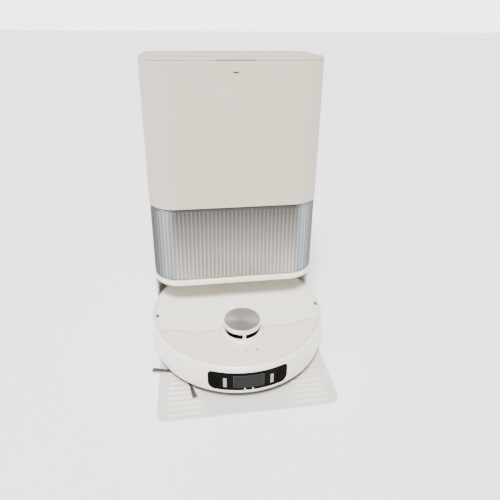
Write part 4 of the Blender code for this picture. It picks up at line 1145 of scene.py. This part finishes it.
# ---------------- robot works
def bristle(rng, root, tip):
    """One bristle, fanned out and lifted at random, drooping towards its end."""
    fan = rng.uniform(-1, 1)
    lift = rng.uniform(-0.0008, 0.0008)
    reach = tip - rng.uniform(0.0, 0.003)
    points = []
    for t in (0, 0.25, 0.5, 0.75, 1):
        y = fan * (0.0014 + 0.0032 * t)
        points.append((root + (reach - root) * t, y, 0.0040 + lift * (1 - t) - 0.0010 * t * t))
    return tube(points, 0.00028, 4, lambda t: 1 - 0.35 * t)


def build_side_brush():
    """A hub with three soft arms, each ending in a fan of bristles."""
    place, body = ROBOT + SIDE_BRUSH, "edge_brush"
    hub = [
        (0.0, 0.0150, 0),
        (0.0040, 0.0150, 0.0004),
        (0.0040, 0.0088, 0.001),
        (0.0125, 0.0088, 0.001),
        (0.0138, 0.0068, 0.002),
        (0.0105, 0.0024, 0.002),
        (0.0, 0.0024, 0),
    ]
    piece("brush_hub", finished(turned(hub, 48)), ARM_BROWN, body, place, "side_brush")
    rng = random.Random(5)
    first_angle, start, end, tip, soft = 166.5, 0.006, 0.036, 0.0636, 0.001
    shape = [(start, -0.0040, soft), (end, -0.0018, soft), (end, 0.0018, soft), (start, 0.0040, soft)]
    for i in range(3):
        turn = (first_angle + 120 * i, "Z")
        arm = moved(plate([filleted(shape)], 0.0026, 0.0056, 0.0006, 3), turn=turn)
        piece(f"brush_arm_{i + 1}", finished(arm), ARM_BROWN, body, place)
        strands = [bristle(rng, end - 0.006, tip) for _ in range(60)]
        tuft = moved(together(*strands), turn=turn)
        tuft.shade_smooth()
        piece(f"brush_tuft_{i + 1}", tuft, BRISTLE, body, place)


def tyre(radius):
    """A drive wheel with a dished hub and slanted lugs across its tread."""
    lugs, slant, groove, hub = 26, 260, 0.0013, 0.0050
    profile = filleted(
        [
            (hub, 0.0100, 0.0004),
            (0.0190, 0.0104, 0.0010),
            (0.0200, 0.0088, 0.0005),
            (0.0225, 0.0088, 0.0005),
            (0.0235, 0.0108, 0.0012),
            (radius, 0.0096, 0.0022),
            (radius, -0.0096, 0.0022),
            (0.0235, -0.0108, 0.0012),
            (hub, -0.0100, 0.0004),
        ]
    )

    def tread(i, a):
        r, z = profile[i]
        on_tread = r >= radius - 0.0012
        return -groove if on_tread and cos(lugs * a + slant * z) > 0.35 else 0

    return finished(moved(revolve(profile, 8 * lugs, tread), turn=(90, "Y")), sharp=50)


def build_wheels():
    for _, word in SIDES:
        low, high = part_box(f"wheel_{word}")
        mesh = tyre((high.z - low.z) / 2)
        piece(f"tyre_{word}", mesh, RUBBER, f"drive_{word}", (low + high) / 2, f"wheel_{word}")


def build_roller():
    """A rubber roller whose fins run in a shallow V from the middle to both ends."""
    low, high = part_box("main_brush")
    half, end, fins, twist, stations = 0.082, 0.0865, 6, 9.0, 33
    outline = []
    for i in range(fins):
        start = 360 / fins * i
        outline += arc((0, 0), 0.0142, start, start + 42, 8)
        outline += arc((0, 0), 0.0172, start + 49, start + 55, 3)
    loops = []
    for k in range(stations):
        x = -half + 2 * half * k / (stations - 1)
        size = 1 - 0.25 * (abs(x) > half - 0.002)
        c, s = size * cos(twist * abs(x)), size * sin(twist * abs(x))
        loops.append([(x, u * c - v * s, u * s + v * c) for u, v in outline])
    centre, roller = (low + high) / 2, finished(loft(loops), sharp=35)
    piece("roller_fins", roller, RUBBER, "roller", centre, "main_brush")
    axle = [(0.0, end, 0), (0.003, end, 0.0006), (0.003, -end, 0.0006), (0.0, -end, 0)]
    mesh = finished(moved(turned(axle, 32), turn=(90, "Y")))
    piece("roller_axle", mesh, STEEL, "roller", centre)


def pile_rings(radius, top):
    """Rings of (radius, height) over a pad's face, round its edge and back under it."""
    rings = [(radius * t, top - 0.0002) for t in (0.06, 0.2, 0.35, 0.5, 0.62, 0.74, 0.84, 0.91)]
    rings += [(radius * 0.955, top - 0.0006), (radius * 0.985, top - 0.0020), (radius, 0.0)]
    return rings + [(r, -z) for r, z in reversed(rings[:-1])]


def build_mop_pads():
    """Round pads with a deep looped pile."""
    steps = 132
    for side, word in SIDES:
        low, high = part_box(f"mop_pad_{word}")
        rings = pile_rings((high.x - low.x) / 2 - 0.0010, (high.z - low.z) / 2)
        loops = []
        for k in range(steps):
            a = 2 * pi * k / steps
            loop = []
            for r, z in rings:
                x, y = r * cos(a), r * sin(a)
                push = 0.0006 * noise.noise(Vector((x * 420, y * 420, z * 300 + side * 9))) - 0.0004
                loop.append((x * (1 + push * 8), y * (1 + push * 8), z + (push if z > 0 else -push)))
            loops.append(loop)
        bm = bmesh.new()
        bm.from_mesh(loft(loops, wrap=True, ring=False))
        bmesh.ops.holes_fill(bm, edges=[e for e in bm.edges if e.is_boundary], sides=steps + 1)
        mesh = cleaned(bm)
        mesh.shade_smooth()
        name, where = f"pile_pad_{word}", (low + high) / 2
        pad = piece(name, mesh, MOP, f"mop_{word}", where, f"mop_pad_{word}")


def build_filter():
    """The dust filter: a frame round a sheet of pleats."""
    low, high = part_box("dust_filter")
    wall, pleats, gap = 0.004, 34, 0.0045
    outer = rectangle(low.x, high.x, low.y, high.y, 0.002)
    inner = rectangle(low.x + wall, high.x - wall, low.y + wall, high.y - wall, 0.002)
    frame_mesh = finished(plate([outer, inner[::-1]], low.z, high.z, 0.0005))
    piece("filter_frame", frame_mesh, MID_GREY, "robot")
    x0, x1 = low.x + gap, high.x - gap
    loops = []
    for k in range(2 * pleats + 1):
        x = x0 + (x1 - x0) * k / (2 * pleats)
        z = high.z - 0.0008 if k % 2 else low.z + 0.0020
        loops.append([(x, low.y + gap, z), (x, high.y - gap, z)])
    sheet = evaluated(loft(loops, ring=False), ("SOLIDIFY", {"thickness": 0.0005}))
    piece("filter_pleats", sheet, FILTER, "robot", stands_for="dust_filter")


def build_softened():
    """The rest keep their CAD shape, with rounded edges and their own finish."""
    rows = (
        ("washboard", "wash_tray", PALE_GREY, 0.0003),
        ("dock_panel", "dock_wall", LINER_WHITE, 0.0004),
        ("dock_contact_left", "contact_pin_left", PLATED, 0.0008, "contact_left"),
        ("dock_contact_right", "contact_pin_right", PLATED, 0.0008, "contact_right"),
        ("lid_hinge_rod", "hinge_pin", STEEL, 0.0002),
        ("tank_shelf", "tank_floor", PALE_GREY, 0.0004),
        ("clean_tank", "clean_tank_body", TANK, 0.0004),
        ("dirty_tank", "dirty_tank_body", TANK, 0.0004),
        ("clean_tank_cap", "clean_cap", PALE_GREY, 0.0008),
        ("dirty_tank_cap", "dirty_cap", MID_GREY, 0.0008),
        ("clean_tank_handle", "clean_bail", DARK, 0.0, "clean_handle"),
        ("dirty_tank_handle", "dirty_bail", DARK, 0.0, "dirty_handle"),
        ("bag_collar", "collar_card", CARD, 0.0003),
        ("dust_duct", "duct_pipe", DARK, 0.0),
        ("station_board", "dock_board", BOARD, 0.0002),
        ("power_inlet", "inlet_body", DARK, 0.0006),
        ("chassis", "robot_tub", DARK, 0.0004, "robot"),
        ("dust_box", "dust_bin", MID_GREY, 0.0006, "robot"),
        ("battery", "battery_pack", DARK, 0.0015, "robot"),
        ("robot_board", "main_board", BOARD, 0.0002, "robot"),
        ("robot_fan", "fan_housing", MID_GREY, 0.0006, "robot"),
        ("brush_cover", "roller_guard", MID_GREY, 0.0005, "robot"),
        ("wheel_arm_left", "swing_arm_left", MID_GREY, 0.0004, "arm_left"),
        ("wheel_arm_right", "swing_arm_right", MID_GREY, 0.0004, "arm_right"),
        ("caster_fork", "caster_yoke", MID_GREY, 0.0004, "caster"),
        ("caster_wheel", "caster_tyre", RUBBER, 0.0005, "caster_roller"),
        ("mop_drive", "mop_gearbox", MID_GREY, 0.0004, "mop_unit"),
        ("mop_plate_left", "mop_disc_left", MID_GREY, 0.0003, "mop_left"),
        ("mop_plate_right", "mop_disc_right", MID_GREY, 0.0003, "mop_right"),
    )
    for row in rows:
        softened(*row)


# ---------------- stage, light and camera
def build_stage():
    reach = 40
    sheet = loft([[(-reach, y, 0), (reach, y, 0)] for y in (-reach, reach)], ring=False)
    sheet.materials.append(FLOOR)
    floor = bpy.data.objects.new("floor", sheet)
    floor.location.z = -0.0002
    bpy.context.scene.collection.objects.link(floor)


def add_light(name, kind, power, place, **settings):
    """A light that points at the middle of the station."""
    lamp = bpy.data.lights.new(name, kind)
    lamp.energy = power
    for key, value in settings.items():
        setattr(lamp, key, value)
    obj = bpy.data.objects.new(name, lamp)
    obj.location = place
    aim = Vector((0, 0, 0.2)) - obj.location
    obj.rotation_euler = aim.to_track_quat("-Z", "Y").to_euler()
    bpy.context.scene.collection.objects.link(obj)


def build_lighting():
    """A pale band round the horizon under a dimmer sky, a soft sun and a cool side light."""
    world = bpy.data.worlds.new("studio")
    world.use_nodes = True
    tree = world.node_tree
    direction = add_node(tree, "TexCoord").outputs["Generated"]
    height = add_node(tree, "SeparateXYZ", {"Vector": direction}).outputs["Z"]
    background = tree.nodes["Background"]
    background.inputs["Color"].default_value = (1.0, 1.0, 1.0, 1)
    tree.links.new(spread(tree, height, 4.2, 0.2, 0.10, 0.45), background.inputs["Strength"])
    bpy.context.scene.world = world
    add_light("overhead", "SUN", 9.5, (-0.25, -1.0, 2.3), angle=radians(20))
    panel = {"shape": "RECTANGLE", "size": 1.2, "size_y": 1.2, "color": (0.8, 0.9, 1.0)}
    add_light("left_softbox", "AREA", 25, (-2.6, -1.2, 1.5), **panel)


def build_camera():
    """The viewpoint: near, above and a little to the left, with the lens shifted upwards."""
    place = Vector((-0.0850, -0.7394, 0.6213))
    yaw, pitch, roll = radians(7.852), radians(21.435), radians(0.458)
    camera = bpy.data.cameras.new("camera")
    camera.lens = 30.41
    camera.shift_x, camera.shift_y = 0.0085, -0.1202
    camera.clip_start = 0.01
    obj = bpy.data.objects.new("camera", camera)
    turn = Matrix.Rotation(-yaw, 4, "Z") @ Matrix.Rotation(pi / 2 - pitch, 4, "X")
    obj.matrix_world = Matrix.Translation(place) @ turn @ Matrix.Rotation(roll, 4, "Z")
    bpy.context.scene.collection.objects.link(obj)
    bpy.context.scene.camera = obj


build_tower()
build_garage_liners()
build_status_lamp()
build_lid()
build_lid_barrels()
build_dust_cover()
build_roof()
build_base_floor()
build_ramp()
build_bag()
build_motor()
build_robot_wall()
build_bumper_tongues()
build_bumper()
build_window()
build_front_deck()
build_deck_under()
build_deck_gap_strips()
build_rear_cover()
build_keys()
build_turret_skirt()
build_sensor_head()
build_turret_crown()
build_side_brush()
build_wheels()
build_roller()
build_mop_pads()
build_filter()
build_softened()
build_stage()
build_lighting()
build_camera()
